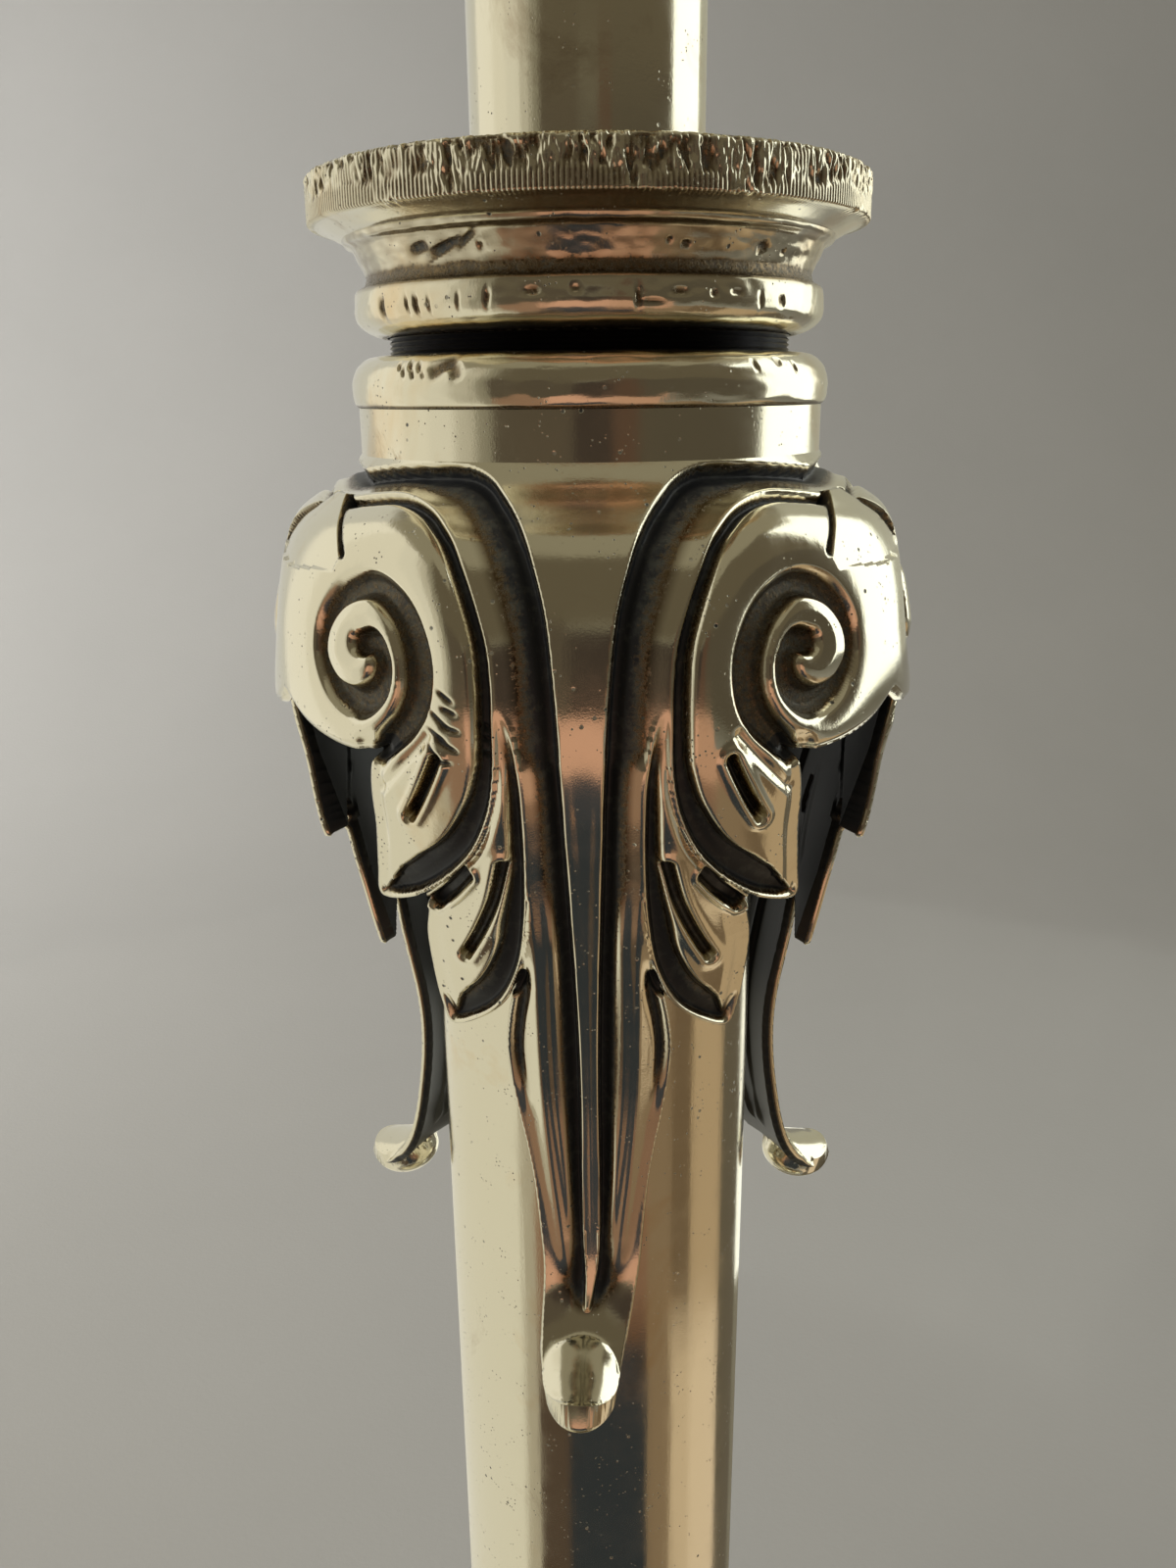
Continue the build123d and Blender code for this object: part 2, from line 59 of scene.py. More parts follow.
MM = 0.001
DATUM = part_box("collar_ring")[0].z + 0.0038  # level of the clamp's lower joint and of the camera, 0.580 m


# ------------------------------------------------------------------ small tools


def spline(points, step=1.0):
    """Dense Catmull-Rom curve through the points."""
    p = np.asarray(points, float)
    p = np.vstack([2 * p[0] - p[1], p, 2 * p[-1] - p[-2]])
    out = []
    for a, b, c, d in zip(p[:-3], p[1:-2], p[2:-1], p[3:]):
        n = max(2, int(np.linalg.norm((c - b)[:2]) / step))
        t = np.linspace(0, 1, n, endpoint=False)[:, None]
        out.append(
            0.5 * (2 * b + (c - a) * t + (2 * a - 5 * b + 4 * c - d) * t**2 + (3 * b - a - 3 * c + d) * t**3)
        )
    return np.vstack(out + [p[-2:-1]])


def nearest(px, py, curve):
    """Distance to a polyline, the place along it (0 to 1) and its closest point."""
    a, b = curve[:-1, :2], curve[1:, :2]
    d = b - a
    length = np.hypot(d[:, 0], d[:, 1]) + 1e-9
    run = np.concatenate([[0], np.cumsum(length)])
    dist, along = np.empty(px.size), np.empty(px.size)
    foot = np.empty((px.size, 2))
    for i in range(0, px.size, 4000):
        x, y = px.ravel()[i : i + 4000, None], py.ravel()[i : i + 4000, None]
        t = np.clip(((x - a[:, 0]) * d[:, 0] + (y - a[:, 1]) * d[:, 1]) / length**2, 0, 1)
        ex, ey = x - a[:, 0] - t * d[:, 0], y - a[:, 1] - t * d[:, 1]
        q = np.hypot(ex, ey)
        k = q.argmin(1)
        r = np.arange(k.size)
        s = slice(i, i + k.size)
        dist[s] = q[r, k]
        along[s] = (run[k] + t[r, k] * length[k]) / run[-1]
        foot[s] = a[k] + t[r, k, None] * d[k]
    return dist.reshape(px.shape), along.reshape(px.shape), foot


def inside(px, py, polygon):
    """True for points within the closed polygon."""
    hit = np.zeros(px.shape, bool)
    x0, y0 = polygon[:, 0], polygon[:, 1]
    for xa, ya, xb, yb in zip(x0, y0, np.roll(x0, -1), np.roll(y0, -1)):
        if ya != yb:
            cross = (ya > py) != (yb > py)
            hit ^= cross & (px < (xb - xa) * (py - ya) / (yb - ya) + xa)
    return hit


def ramp(x, lo, hi):
    """Smooth step from 0 at lo to 1 at hi."""
    t = np.clip((x - lo) / (hi - lo), 0, 1)
    return t * t * (3 - 2 * t)


def trench(d, half, wall):
    """1 on the floor of a groove of this half width, 0 beyond its wall."""
    return 1 - ramp(d, half - wall / 2, half + wall / 2)


def mesh_object(name, verts, faces, body, material, cavity):
    """A mesh piece in metres that rides on a CAD body."""
    mesh = bpy.data.meshes.new(name)
    mesh.from_pydata(verts, [], faces)
    mesh.polygons.foreach_set("use_smooth", [True] * len(mesh.polygons))
    mesh.attributes.new("cavity", "FLOAT", "POINT").data.foreach_set("value", cavity)
    mesh.materials.append(material)
    mesh.validate()
    obj = bpy.data.objects.new(name, mesh)
    bpy.context.scene.collection.objects.link(obj)
    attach(obj, body)
    return obj


# ------------------------------------------------------------------ materials


class Tree:
    """Short way to wire a node material."""

    def __init__(self, name):
        self.material = bpy.data.materials.new(name)
        self.material.use_nodes = True
        self.nodes, self.links = self.material.node_tree.nodes, self.material.node_tree.links
        self.shader = self.nodes["Principled BSDF"]
        self.place = self.nodes.new("ShaderNodeTexCoord").outputs["Object"]

    def put(self, socket, value):
        if isinstance(value, bpy.types.NodeSocket):
            self.links.new(value, socket)
        else:
            socket.default_value = value

    def noise(self, scale, detail=4.0, rough=0.6, distort=0.0, stretch=None):
        n = self.nodes.new("ShaderNodeTexNoise")
        n.inputs["Scale"].default_value = scale
        n.inputs["Detail"].default_value = detail
        n.inputs["Roughness"].default_value = rough
        n.inputs["Distortion"].default_value = distort
        self.links.new(self.stretched(stretch), n.inputs["Vector"])
        return n.outputs["Fac"]

    def stretched(self, stretch):
        if stretch is None:
            return self.place
        m = self.nodes.new("ShaderNodeMapping")
        m.inputs["Scale"].default_value = stretch
        self.links.new(self.place, m.inputs["Vector"])
        return m.outputs["Vector"]

    def pits(self, scale, lo, hi):
        v = self.nodes.new("ShaderNodeTexVoronoi")
        v.inputs["Scale"].default_value = scale
        self.links.new(self.place, v.inputs["Vector"])
        return self.range(v.outputs["Distance"], lo, hi, 1.0, 0.0)

    def range(self, value, lo, hi, to_lo=0.0, to_hi=1.0):
        n = self.nodes.new("ShaderNodeMapRange")
        limits = {"From Min": lo, "From Max": hi, "To Min": to_lo, "To Max": to_hi}
        for key, v in {"Value": value, **limits}.items():
            self.put(n.inputs[key], v)
        return n.outputs["Result"]

    def math(self, op, a, b=0.0):
        n = self.nodes.new("ShaderNodeMath")
        n.operation = op
        n.use_clamp = op in ("ADD", "MULTIPLY", "SUBTRACT")
        self.put(n.inputs[0], a)
        self.put(n.inputs[1], b)
        return n.outputs[0]

    def mix(self, fac, a, b):
        n = self.nodes.new("ShaderNodeMix")
        n.data_type = "RGBA"
        self.put(n.inputs[0], fac)
        self.put(n.inputs[6], a)
        self.put(n.inputs[7], b)
        return n.outputs[2]

    def attribute(self, name):
        n = self.nodes.new("ShaderNodeAttribute")
        n.attribute_name = name
        return n.outputs["Fac"]

    def bump(self, height, distance, below=None):
        n = self.nodes.new("ShaderNodeBump")
        n.inputs["Distance"].default_value = distance
        self.put(n.inputs["Height"], height)
        if below is not None:
            self.links.new(below, n.inputs["Normal"])
        return n.outputs["Normal"]

    def finish(self, colour, rough, normal, metallic=1.0):
        self.put(self.shader.inputs["Base Color"], colour)
        self.put(self.shader.inputs["Roughness"], rough)
        self.put(self.shader.inputs["Metallic"], metallic)
        self.links.new(normal, self.shader.inputs["Normal"])
        return self.material


PLATE = (0.80, 0.755, 0.60, 1)
BRASS = (0.72, 0.52, 0.27, 1)
STAIN = (0.30, 0.19, 0.09, 1)
PATINA = (0.020, 0.022, 0.026, 1)
BLOOM = (0.088, 0.092, 0.078, 1)
FRINGE = (0.21, 0.155, 0.09, 1)
BLACK = 1.3  # cavity value that makes the leaf backs fully dark, with no bloom on them


def plated_metal(name, wear, rough, stain=0.15, cavity=False, lines=0.0):
    """Silver plate over brass: rubbed zones, brown stain, black pits, patina in the hollows."""
    t = Tree(name)
    broad = t.noise(14.0, 5.0, 0.62, 0.4)
    cloud = t.noise(60.0, 6.0, 0.7)
    colour = t.mix(t.range(broad, 0.62 - wear, 0.80 - wear), PLATE, BRASS)
    blots = t.range(t.noise(24.0, 6.0, 0.65, 0.8), 0.62, 0.78)
    stains = t.math("MULTIPLY", blots, t.range(cloud, 0.35, 0.6))
    colour = t.mix(t.math("MULTIPLY", stains, stain * 4), colour, STAIN)
    pits = t.math("MULTIPLY", t.pits(900.0, 0.10, 0.20), t.range(t.noise(180.0), 0.55, 0.62))
    specks = t.math("MULTIPLY", t.pits(260.0, 0.07, 0.13), t.range(t.noise(45.0), 0.52, 0.60))
    dark = t.math("MAXIMUM", pits, specks)
    grain = t.noise(1500.0, 3.0, 0.6)
    hollow = 0.0
    if cavity:
        mottle = t.range(t.noise(1100.0, 4.0, 0.75), 0.3, 0.75, -0.30, 0.30)
        grime = t.math("ADD", t.attribute("cavity"), mottle)
        colour = t.mix(t.range(t.attribute("cavity"), 0.02, 0.40), colour, FRINGE)
        dark = t.math("MAXIMUM", dark, t.range(grime, 0.34, 0.80))
        hollow = t.range(t.attribute("cavity"), 0.70, 1.1)
    bloom = t.math("SUBTRACT", t.range(t.noise(330.0, 5.0, 0.7), 0.32, 0.60), hollow)
    film = t.mix(t.math("MAXIMUM", bloom, 0.0), PATINA, BLOOM)
    colour = t.mix(dark, colour, film)
    haze = t.range(cloud, 0.35, 0.75, rough, rough + 0.12)
    roughness = t.mix(dark, haze, (0.42, 0.42, 0.42, 1))
    normal = t.bump(t.noise(9.0, 3.0, 0.5), 0.0006)
    normal = t.bump(t.noise(2600.0, 2.0, 0.5), 0.000012, normal)
    normal = t.bump(t.math("SUBTRACT", 1.0, dark), 0.00010, normal)
    scratch = t.noise(420.0, 2.0, 0.5, 0.0, (1.0, 1.0, 9.0) if lines else (1.0, 1.0, 0.06))
    wear_marks = t.math("ADD", scratch, t.math("MULTIPLY", grain, 0.2))
    normal = t.bump(wear_marks, 0.00003 - 0.00002 * lines, normal)
    return t.finish(colour, roughness, normal, t.range(dark, 0.0, 1.0, 1.0, 0.25))


def plain_metal(name, colour, rough, grain, depth):
    """Turned or cast metal of the hidden pieces."""
    t = Tree(name)
    tone = t.range(t.noise(40.0, 5.0, 0.6), 0.3, 0.7)
    shade = tuple(0.72 * c for c in colour[:3]) + (1,)
    rows = t.noise(500.0, 3.0, 0.6, 0.0, grain)
    roughness = t.range(t.noise(160.0), 0.3, 0.7, rough, rough + 0.15)
    return t.finish(t.mix(tone, colour, shade), roughness, t.bump(rows, depth))


def felt(name):
    """Pressed wool felt under the foot."""
    t = Tree(name)
    fibre = t.noise(2400.0, 6.0, 0.8, 1.5)
    colour = t.mix(t.range(fibre, 0.3, 0.7), (0.012, 0.045, 0.024, 1), (0.035, 0.10, 0.055, 1))
    t.shader.inputs["Sheen Weight"].default_value = 0.5
    return t.finish(colour, 0.95, t.bump(fibre, 0.0005), 0.0)


def materials():
    return {
        "silver_plate": plated_metal("silver_plate", 0.02, 0.09, 0.18),
        "worn_plate": plated_metal("worn_plate", 0.10, 0.10, 0.5, lines=1.0),
        "cast_plate": plated_metal("cast_plate", 0.0, 0.09, 0.1, cavity=True),
        "clamp_plate": plated_metal("clamp_plate", 0.10, 0.11, 0.4, cavity=True),
        "bare_brass": plain_metal("bare_brass", (0.74, 0.55, 0.28, 1), 0.22, (1, 1, 8), 0.00004),
        "dark_thread": plain_metal("dark_thread", (0.055, 0.055, 0.062, 1), 0.26, (1, 1, 6), 0.00003),
        "steel": plain_metal("steel", (0.50, 0.50, 0.51, 1), 0.28, (8, 8, 1), 0.00003),
        "iron": plain_metal("iron", (0.09, 0.085, 0.08, 1), 0.55, (1, 1, 1), 0.0004),
        "felt": felt("felt"),
    }


# ------------------------------------------------------------------ capital: guide curves
# Half a leaf, from its middle (0 degrees) to the seam (60 degrees).
# Every guide point is (degrees from the middle, mm from the datum level).

PROFILE = [  # radius, height: neck, shoulder, belly, tail and the outward curl with its knob
    (51.3, -13.4), (54.8, -17.3), (58.6, -20.5), (62.0, -23.6), (65.5, -27.0), (68.7, -32.9),
    (71.5, -42.4), (72.8, -52.2), (73.0, -64.0), (71.3, -75.0), (68.3, -85.0), (65.1, -95.0),
    (61.8, -105.0), (58.0, -118.0), (54.6, -131.0), (51.5, -145.0), (49.3, -158.0), (48.2, -172.0),
    (48.0, -186.0), (48.7, -198.0), (51.0, -208.0), (55.5, -215.5), (61.5, -219.5), (67.5, -220.0),
    (72.5, -217.5),
]
PANEL = [  # edge of the smooth middle panel, which narrows into the tail's rib
    (66, -16.6), (58, -15.6), (48, -14.8), (38, -14.2), (30, -13.9), (24.5, -14.3), (19.5, -15.9),
    (15.6, -18.5), (10.5, -23.7), (6.9, -32), (5.1, -40), (4.1, -50), (3.5, -60), (3.2, -70.7),
    (2.8, -92), (2.2, -124), (2.0, -151), (2.2, -177), (1.9, -192), (1.0, -204), (0.2, -209),
]
CREST = [  # upper rim of the strap, running on round the first lobe to the volute
    (60, -20.6), (54, -20.5), (47.1, -19.7), (38.1, -19.2), (29.1, -21.2), (22.1, -25.6), (18.1, -31.5),
    (15.1, -39.1), (13.4, -46), (12.8, -54.4), (12.8, -64), (13.3, -70.7), (14.9, -78.5), (18.6, -87),
    (24.4, -93.6), (33, -99.4), (41.8, -101.6), (40.4, -94.5), (38.8, -86), (37.8, -78), (36.1, -71.3),
    (34.4, -67.6),
]
RIM = [(34.4, -67.6), (40, -67.8), (47, -66.8), (53, -65), (57.5, -62.6), (60, -61.2)]
CREST2 = [  # rim of the second lobe
    (12.8, -54.4), (10.4, -60), (9.2, -70), (9.2, -80), (9.9, -92.1), (11.3, -104), (13.8, -115.7),
    (18.5, -125), (25, -130.9), (33.8, -135.0), (35.9, -130), (36.2, -121.9), (35.3, -111.8),
    (32.8, -104.6), (31.5, -99.0),
]
TAIL = [  # edge of the tail
    (15.2, -115.0), (16.4, -123), (18.6, -131), (20.2, -139), (20.4, -147), (19.4, -157), (17.6, -167),
    (15.9, -178), (14.4, -192), (13.0, -203), (11.6, -211), (10.0, -216.5), (8.7, -219.5),
]
FLUTE = [
    (8.6, -96), (8.6, -110), (9.3, -122), (10.2, -140), (10.2, -156), (9.0, -172), (7.0, -188),
    (5.5, -200),
]
VOLUTE = [  # middle of the spiral groove, with its half width in mm
    (34.2, -68.6, 1.7), (31.4, -65.2, 2.3), (27.8, -60.6, 2.8), (25.7, -54.5, 3.0), (26.0, -47.0, 3.1),
    (29.4, -39.6, 2.9), (35.5, -35.6, 2.4), (42.0, -37.6, 2.1), (46.2, -43.6, 2.0), (46.6, -50.6, 2.0),
    (43.0, -56.5, 2.4), (37.6, -58.3, 2.8), (33.4, -55.0, 2.6), (32.3, -50.0, 2.3), (34.2, -46.3, 2.5),
    (37.0, -46.6, 2.2),
]
LOBE_STEP = [(23.6, -62.5), (26.2, -66.0), (29.6, -70.2), (34.0, -75.0)]
SLOT = [(22.4, -67.0), (23.4, -69.5), (26.0, -75.0), (28.9, -79.8)]
SLOT2 = [(14.1, -89.7), (17.0, -99.0), (21.2, -107.4), (25.5, -114.0)]
LOOP = [(21.4, -93.0), (25.6, -97.9), (30.4, -102.2)]
LOOP2 = [(14.2, -118.6), (16.4, -123.0)]
SHOULDER = [(60, -17.8), (55, -21.0), (50, -24.6), (46.4, -27.6), (44.0, -30.6)]
NICKS = [  # chisel marks across the left strap, with half length and slant
    (-20.2, -54.6, 1.9, 0.55), (-19.6, -57.2, 1.6, 0.35), (-21.4, -59.0, 2.4, 0.60),
    (-19.4, -60.6, 1.8, 0.20), (-21.8, -62.0, 2.2, 0.50), (-20.2, -63.8, 2.4, 0.45),
    (-22.4, -65.2, 1.8, 0.70), (-21.0, -67.0, 1.6, 0.10), (-14.6, -60.5, 1.2, 0.8),
    (-14.4, -63.0, 1.2, 0.6), (-14.6, -66.0, 1.0, 0.4), (24.0, -48.6, 1.2, 0.9),
]
KNOB_R = 9.0
KNOB_H = -219.5
KNOB_DROP = 2.8  # the knob's centre lies this far behind the strip's front


class Leaf:
    """The leaf's middle line and its guides, laid out flat: x mm round the leaf, s mm down it."""

    def __init__(self, bend, sway=0.0):
        p = spline(PROFILE, 0.5)
        p[:, 0] += bend * ramp(-p[:, 1], 150.0, 222.0)
        step = np.hypot(*np.diff(p, axis=0).T)
        self.s = np.concatenate([[0], np.cumsum(step)])
        self.r, self.h = p[:, 0], p[:, 1]
        tr, th = np.gradient(self.r, self.s), np.gradient(self.h, self.s)
        size = np.hypot(tr, th)
        self.nr, self.nh = -th / size, tr / size
        low = self.h.argmin()
        self.down_h, self.down_s = self.h[: low + 1], self.s[: low + 1]
        self.knob_s = float(self.length(KNOB_H))
        self.sway = sway

    def length(self, h):
        return np.interp(-np.asarray(h, float), -self.down_h, self.down_s)

    def radius(self, s):
        return np.interp(s, self.s, self.r)

    def height(self, s):
        return np.interp(s, self.s, self.h)

    def flat(self, points):
        p = np.asarray(points, float)
        s = self.length(p[:, 1])
        x = np.radians(p[:, 0]) * self.radius(s)
        return spline(np.column_stack([x, s] + [p[:, i] for i in range(2, p.shape[1])]), 0.8)

    def place(self, x, s, out, turn):
        """Flat points, each moved out along the normal, as metres round the axis."""
        r = self.radius(s) + out * np.interp(s, self.s, self.nr)
        h = self.height(s) + out * np.interp(s, self.s, self.nh)
        a = (x + self.sway * ramp(s, self.knob_s - 28.0, self.knob_s)) / self.radius(s) + turn
        return np.column_stack([r * np.sin(a) * MM, -r * np.cos(a) * MM, DATUM + h * MM])


def knob_edge(leaf):
    a = np.linspace(0.0, math.pi / 2, 24)
    return np.column_stack([KNOB_R * np.cos(a), leaf.knob_s + KNOB_R * np.sin(a)])


def regions(leaf):
    """Three overlapping outlines: shell with first lobe, second lobe, tail with knob."""
    seam = np.column_stack([np.full(40, 60.5), np.linspace(-61.2, -13.4, 40)])
    shell = np.vstack([leaf.flat(CREST[9:])[:, :2], leaf.flat(RIM), leaf.flat(seam), [[60, -1], [-1, -1]]])
    shell = np.vstack([shell, [[-1, leaf.length(-54.4)]]])
    lobe2 = np.vstack([leaf.flat(CREST2), leaf.flat([(33, -84), (22, -66)])])
    upper = leaf.flat([(0, -45), (13.5, -45), (11.8, -60), (10.5, -80), (10.5, -105)])
    middle = [[-1, leaf.knob_s + KNOB_R], [-1, upper[0, 1]]]
    tail = np.vstack([upper, leaf.flat(TAIL), knob_edge(leaf), middle])
    return shell, lobe2, tail


def leaf_grid(leaf, columns, step):
    """Half-leaf grid: flat places, kept cells and the vertices on the free edge, which are moved onto it."""
    a = np.radians(np.linspace(0, 60, columns + 1))
    s = np.arange(0, leaf.knob_s + KNOB_R + 2 * step, step)
    s_grid, a_grid = np.meshgrid(s, a)
    x_grid = a_grid * leaf.radius(s_grid)
    cx = (x_grid[1:, 1:] + x_grid[:-1, 1:] + x_grid[1:, :-1] + x_grid[:-1, :-1]) / 4
    cs = (s_grid[1:, 1:] + s_grid[:-1, 1:] + s_grid[1:, :-1] + s_grid[:-1, :-1]) / 4
    keep = np.zeros(cx.shape, bool)
    for polygon in regions(leaf):
        keep |= inside(cx, cs, polygon)
    near = np.zeros((columns + 2, s.size + 1), int)
    near[1:-1, 1:-1] = keep
    near[0], near[-1] = near[1], near[-2]
    near[:, 0] = near[:, 1]
    count = near[1:, 1:] + near[:-1, 1:] + near[1:, :-1] + near[:-1, :-1]
    edge = (count > 0) & (count < 4)
    lines = [leaf.flat(guide) for guide in (CREST[11:], RIM, CREST2[3:], TAIL)] + [knob_edge(leaf)]
    px, ps = x_grid[edge], s_grid[edge]
    best = np.full(px.shape, 1e9)
    x_new, s_new = px.copy(), ps.copy()
    for line in lines:
        d, _, foot = nearest(px, ps, line)
        closer = (d < best) & (d < 1.3)
        best = np.where(closer, d, best)
        x_new, s_new = np.where(closer, foot[:, 0], x_new), np.where(closer, foot[:, 1], s_new)
    on_axis = a_grid[edge] == 0
    x_grid[edge], s_grid[edge] = np.where(on_axis, 0, x_new), s_new
    return x_grid, s_grid, keep, edge


# ------------------------------------------------------------------ capital: relief


def strap_relief(leaf, x, s, h, to_crest, u):
    """Groove beside the panel and the hollow slope up to the next rim, with the tail's flute."""
    wide = np.clip((u + to_crest) / 9.0, 0.45, 1.0)
    a = u / wide
    w = u / (u + to_crest + 1e-6)
    out = -(2.3 * (1 - w**1.5) + 1.0 * (1 - ramp(a, 1.8, 4.2))) * ramp(a, 0.0, 1.1)
    flute = nearest(x, s, leaf.flat(FLUTE))[0]
    fade = ramp(-h, 92.0, 112.0) * (1 - ramp(-h, 192.0, 206.0))
    out += fade * (1.9 * np.exp(-((flute / 3.4) ** 2)) - 0.7 * np.exp(-((flute / 1.3) ** 2)))
    edge = nearest(x, s, leaf.flat(TAIL))[0]
    hollow = ramp(-h, 112.0, 122.0) * (1 - ramp(-h, 140.0, 160.0))
    out -= hollow * 1.5 * np.exp(-(((edge - 2.2) / 1.3) ** 2))
    out *= 1 - ramp(-h, 200.0, 215.0)
    return out - 1.6 * trench(nearest(x, s, leaf.flat(LOOP2))[0], 1.3, 1.0)


def lobe2_relief(leaf, x, s, h, d2, t2, d1):
    """Second lobe: rim, dark floor, tongue with its slot, under the first lobe."""
    inner = np.interp(t2, [0, 0.25, 0.45, 0.60, 0.70, 0.78, 1.0], [1.6, 2.4, 4.4, 6.4, 5.0, 0.9, 0.9])
    deep = np.interp(t2, [0, 0.2, 0.5, 0.70, 0.78, 1.0], [1.4, 2.0, 2.4, 2.2, 0.0, 0.0])
    out = -deep * ramp(d2, 0.6, 1.7) * (1 - ramp(d2, inner, inner + 2.0))
    out += 0.9 * ramp(d2, 2.0, 7.0)
    slot = nearest(x, s, leaf.flat(SLOT2))[0]
    out += 0.4 * np.exp(-(((slot - 2.2) / 1.0) ** 2)) - 2.6 * trench(slot, 1.0, 1.1)
    loop = nearest(x, s, leaf.flat(LOOP))[0]
    out += 0.5 * np.exp(-(((loop - 2.5) / 0.6) ** 2)) - 2.8 * trench(loop, 1.5, 1.1)
    return out - 1.2 * (1 - ramp(d1, 0.0, 2.2)) + 1.2 * ramp(-h, 105, 136)


def lobe1_relief(leaf, x, s, h, d1, t1):
    """Strap, volute and first lobe."""
    stops = [0, 0.35, 0.50, 0.60, 0.68, 0.76, 0.81, 1.0]
    inner = np.interp(t1, stops, [2.2, 2.4, 3.0, 5.4, 6.8, 6.0, 0.9, 0.9])
    deep = np.interp(t1, [0, 0.5, 0.68, 0.76, 0.82, 1.0], [1.9, 2.1, 2.8, 2.4, 0.0, 0.0])
    land = shoulder_land(leaf, x, s)
    out = -deep * ramp(d1, 0.7, 1.6) * (1 - ramp(d1, inner, inner + 1.7))
    out = out * (1 - land) + 0.5 * land
    line = leaf.flat(VOLUTE)
    d, along, _ = nearest(x, s, line)
    half = np.interp(along, np.linspace(0, 1, len(line)), line[:, 2])
    away = np.maximum(d - half, 0)
    roll = np.clip((d1 - 2.0) / (d1 - 2.0 + away + 1e-6), 0, 1)
    round_top = 4 * roll * (1 - roll) * ramp(d1, 2.0, 5.0)
    out += np.minimum(1.5, 0.20 * (d1 + away)) * round_top * (1 - land)
    out -= 3.3 * trench(d, 0.9 * half, 0.6 * half + 1.0)
    out -= 3.6 * trench(nearest(x, s, leaf.flat(SHOULDER))[0], 0.9, 0.8)
    out -= 1.1 * trench(nearest(x, s, leaf.flat(LOBE_STEP))[0], 0.8, 2.4)
    slot = nearest(x, s, leaf.flat(SLOT))[0]
    out += 0.6 * np.exp(-(((slot - 2.1) / 0.9) ** 2)) - 3.4 * trench(slot, 0.9, 1.0)
    rim = nearest(x, s, leaf.flat(RIM))[0]
    return out - 1.0 * (1 - ramp(rim, 0.0, 2.2)) ** 2 + lobe1_lift(h)


def lobe1_lift(h):
    return 3.2 * ramp(-h, 76, 102)


def nicks(leaf, x, s):
    out = np.zeros(x.shape)
    for a, h, half, slant in NICKS:
        ns = leaf.length(h)
        nx = math.radians(a) * leaf.radius(ns)
        p = (x - nx) * math.cos(slant) + (s - ns) * math.sin(slant)
        q = (s - ns) * math.cos(slant) - (x - nx) * math.sin(slant)
        out += 0.75 * np.exp(-((p / half) ** 4) - (q / 0.42) ** 2)
    return out


def shoulder_land(leaf, x, s):
    """1 on the smooth land between this leaf's volute and its neighbour's."""
    line = leaf.flat(SHOULDER)
    land = inside(x, s, np.vstack([line, leaf.flat([(45.5, -34), (75, -34), (75, -17)])]))
    return np.where(land, ramp(nearest(x, s, line)[0], 0.2, 0.9), 0.0)


def relief(leaf, x, s):
    """How far the front stands out from the middle line's surface, and how dark its patina is."""
    h = leaf.height(s)
    crest, crest2, panel = leaf.flat(CREST), leaf.flat(CREST2), leaf.flat(PANEL)
    u = nearest(x, s, panel)[0]
    d1, t1, _ = nearest(x, s, crest)
    d2, t2, _ = nearest(x, s, crest2)
    tail = nearest(x, s, leaf.flat(TAIL))[0]
    seam_side = [[95.0, leaf.length(-61.2)], [95.0, leaf.length(-20.6)]]
    in1 = inside(x, s, np.vstack([crest[:, :2], leaf.flat(RIM), seam_side]))
    in2 = inside(x, s, np.vstack([crest2[:, :2], leaf.flat([(33, -84), (22, -66)])[:, :2]])) & ~in1
    in_panel = inside(x, s, np.vstack([panel, [[-1, leaf.length(-209)], [-1, -1], [80, -1]]]))
    begin = ramp(-h, 56, 70)
    outer = np.minimum(np.minimum(d1, d2 + 12 * (1 - begin)), tail)
    body = strap_relief(leaf, x, s, h, outer, u)
    middle = -0.3 * ramp(u, 0.3, 3.0) * ramp(-h, 55, 80) * (1 - ramp(-h, 185, 200))
    out = np.where(in_panel, middle, body)
    second = lobe2_relief(leaf, x, s, h, d2, t2, d1)
    out = np.where(in2, begin * second + (1 - begin) * body, out)
    out = np.where(in1, lobe1_relief(leaf, x, s, h, d1, t1), out)
    lift = np.where(in1, lobe1_lift(h), np.where(in2, 1.2 * ramp(-h, 105, 136), 0.0))
    from_slot = nearest(x, s, leaf.flat(SHOULDER))[0]
    volute = in1 & (h > -66) & (d1 > 4.0) & (from_slot > 2.0)
    cavity = ramp(lift - out, 0.45, 2.1) * np.where(volute, 0.68, 1.0)
    cavity = np.maximum(cavity, np.where(in1, trench(from_slot, 1.2, 0.6), 0.0))
    from_knob = np.hypot(x, s - leaf.knob_s)
    ball = 0.8 * np.sqrt(np.maximum(KNOB_R**2 - from_knob**2, 0)) - 2.0 * np.maximum(from_knob - KNOB_R, 0)
    out -= KNOB_DROP * ramp(s, leaf.knob_s - 7.0, leaf.knob_s + 1.0)
    soft = 0.3 + 1.9 * ramp(s, leaf.knob_s - 26.0, leaf.knob_s - 8.0)
    out = soft * np.logaddexp(out / soft, (0.75 * ball - KNOB_DROP) / soft)
    return out, lift, ball, cavity


def smooth_normals(points, faces, seam, turn):
    """Vertex normals, kept in the seam's plane on both seams, so that the leaves meet without a line."""
    f = np.asarray(faces)
    n = np.cross(points[f[:, 2]] - points[f[:, 0]], points[f[:, 3]] - points[f[:, 1]])
    out = np.zeros_like(points)
    for k in range(4):
        np.add.at(out, f[:, k], n)
    for sign in (-1, 1):
        a = turn + sign * math.pi / 3
        along = np.array([math.cos(a), math.sin(a), 0.0])
        rows = seam == sign
        out[rows] -= np.outer(out[rows] @ along, along)
    return out / (np.linalg.norm(out, axis=1, keepdims=True) + 1e-12)


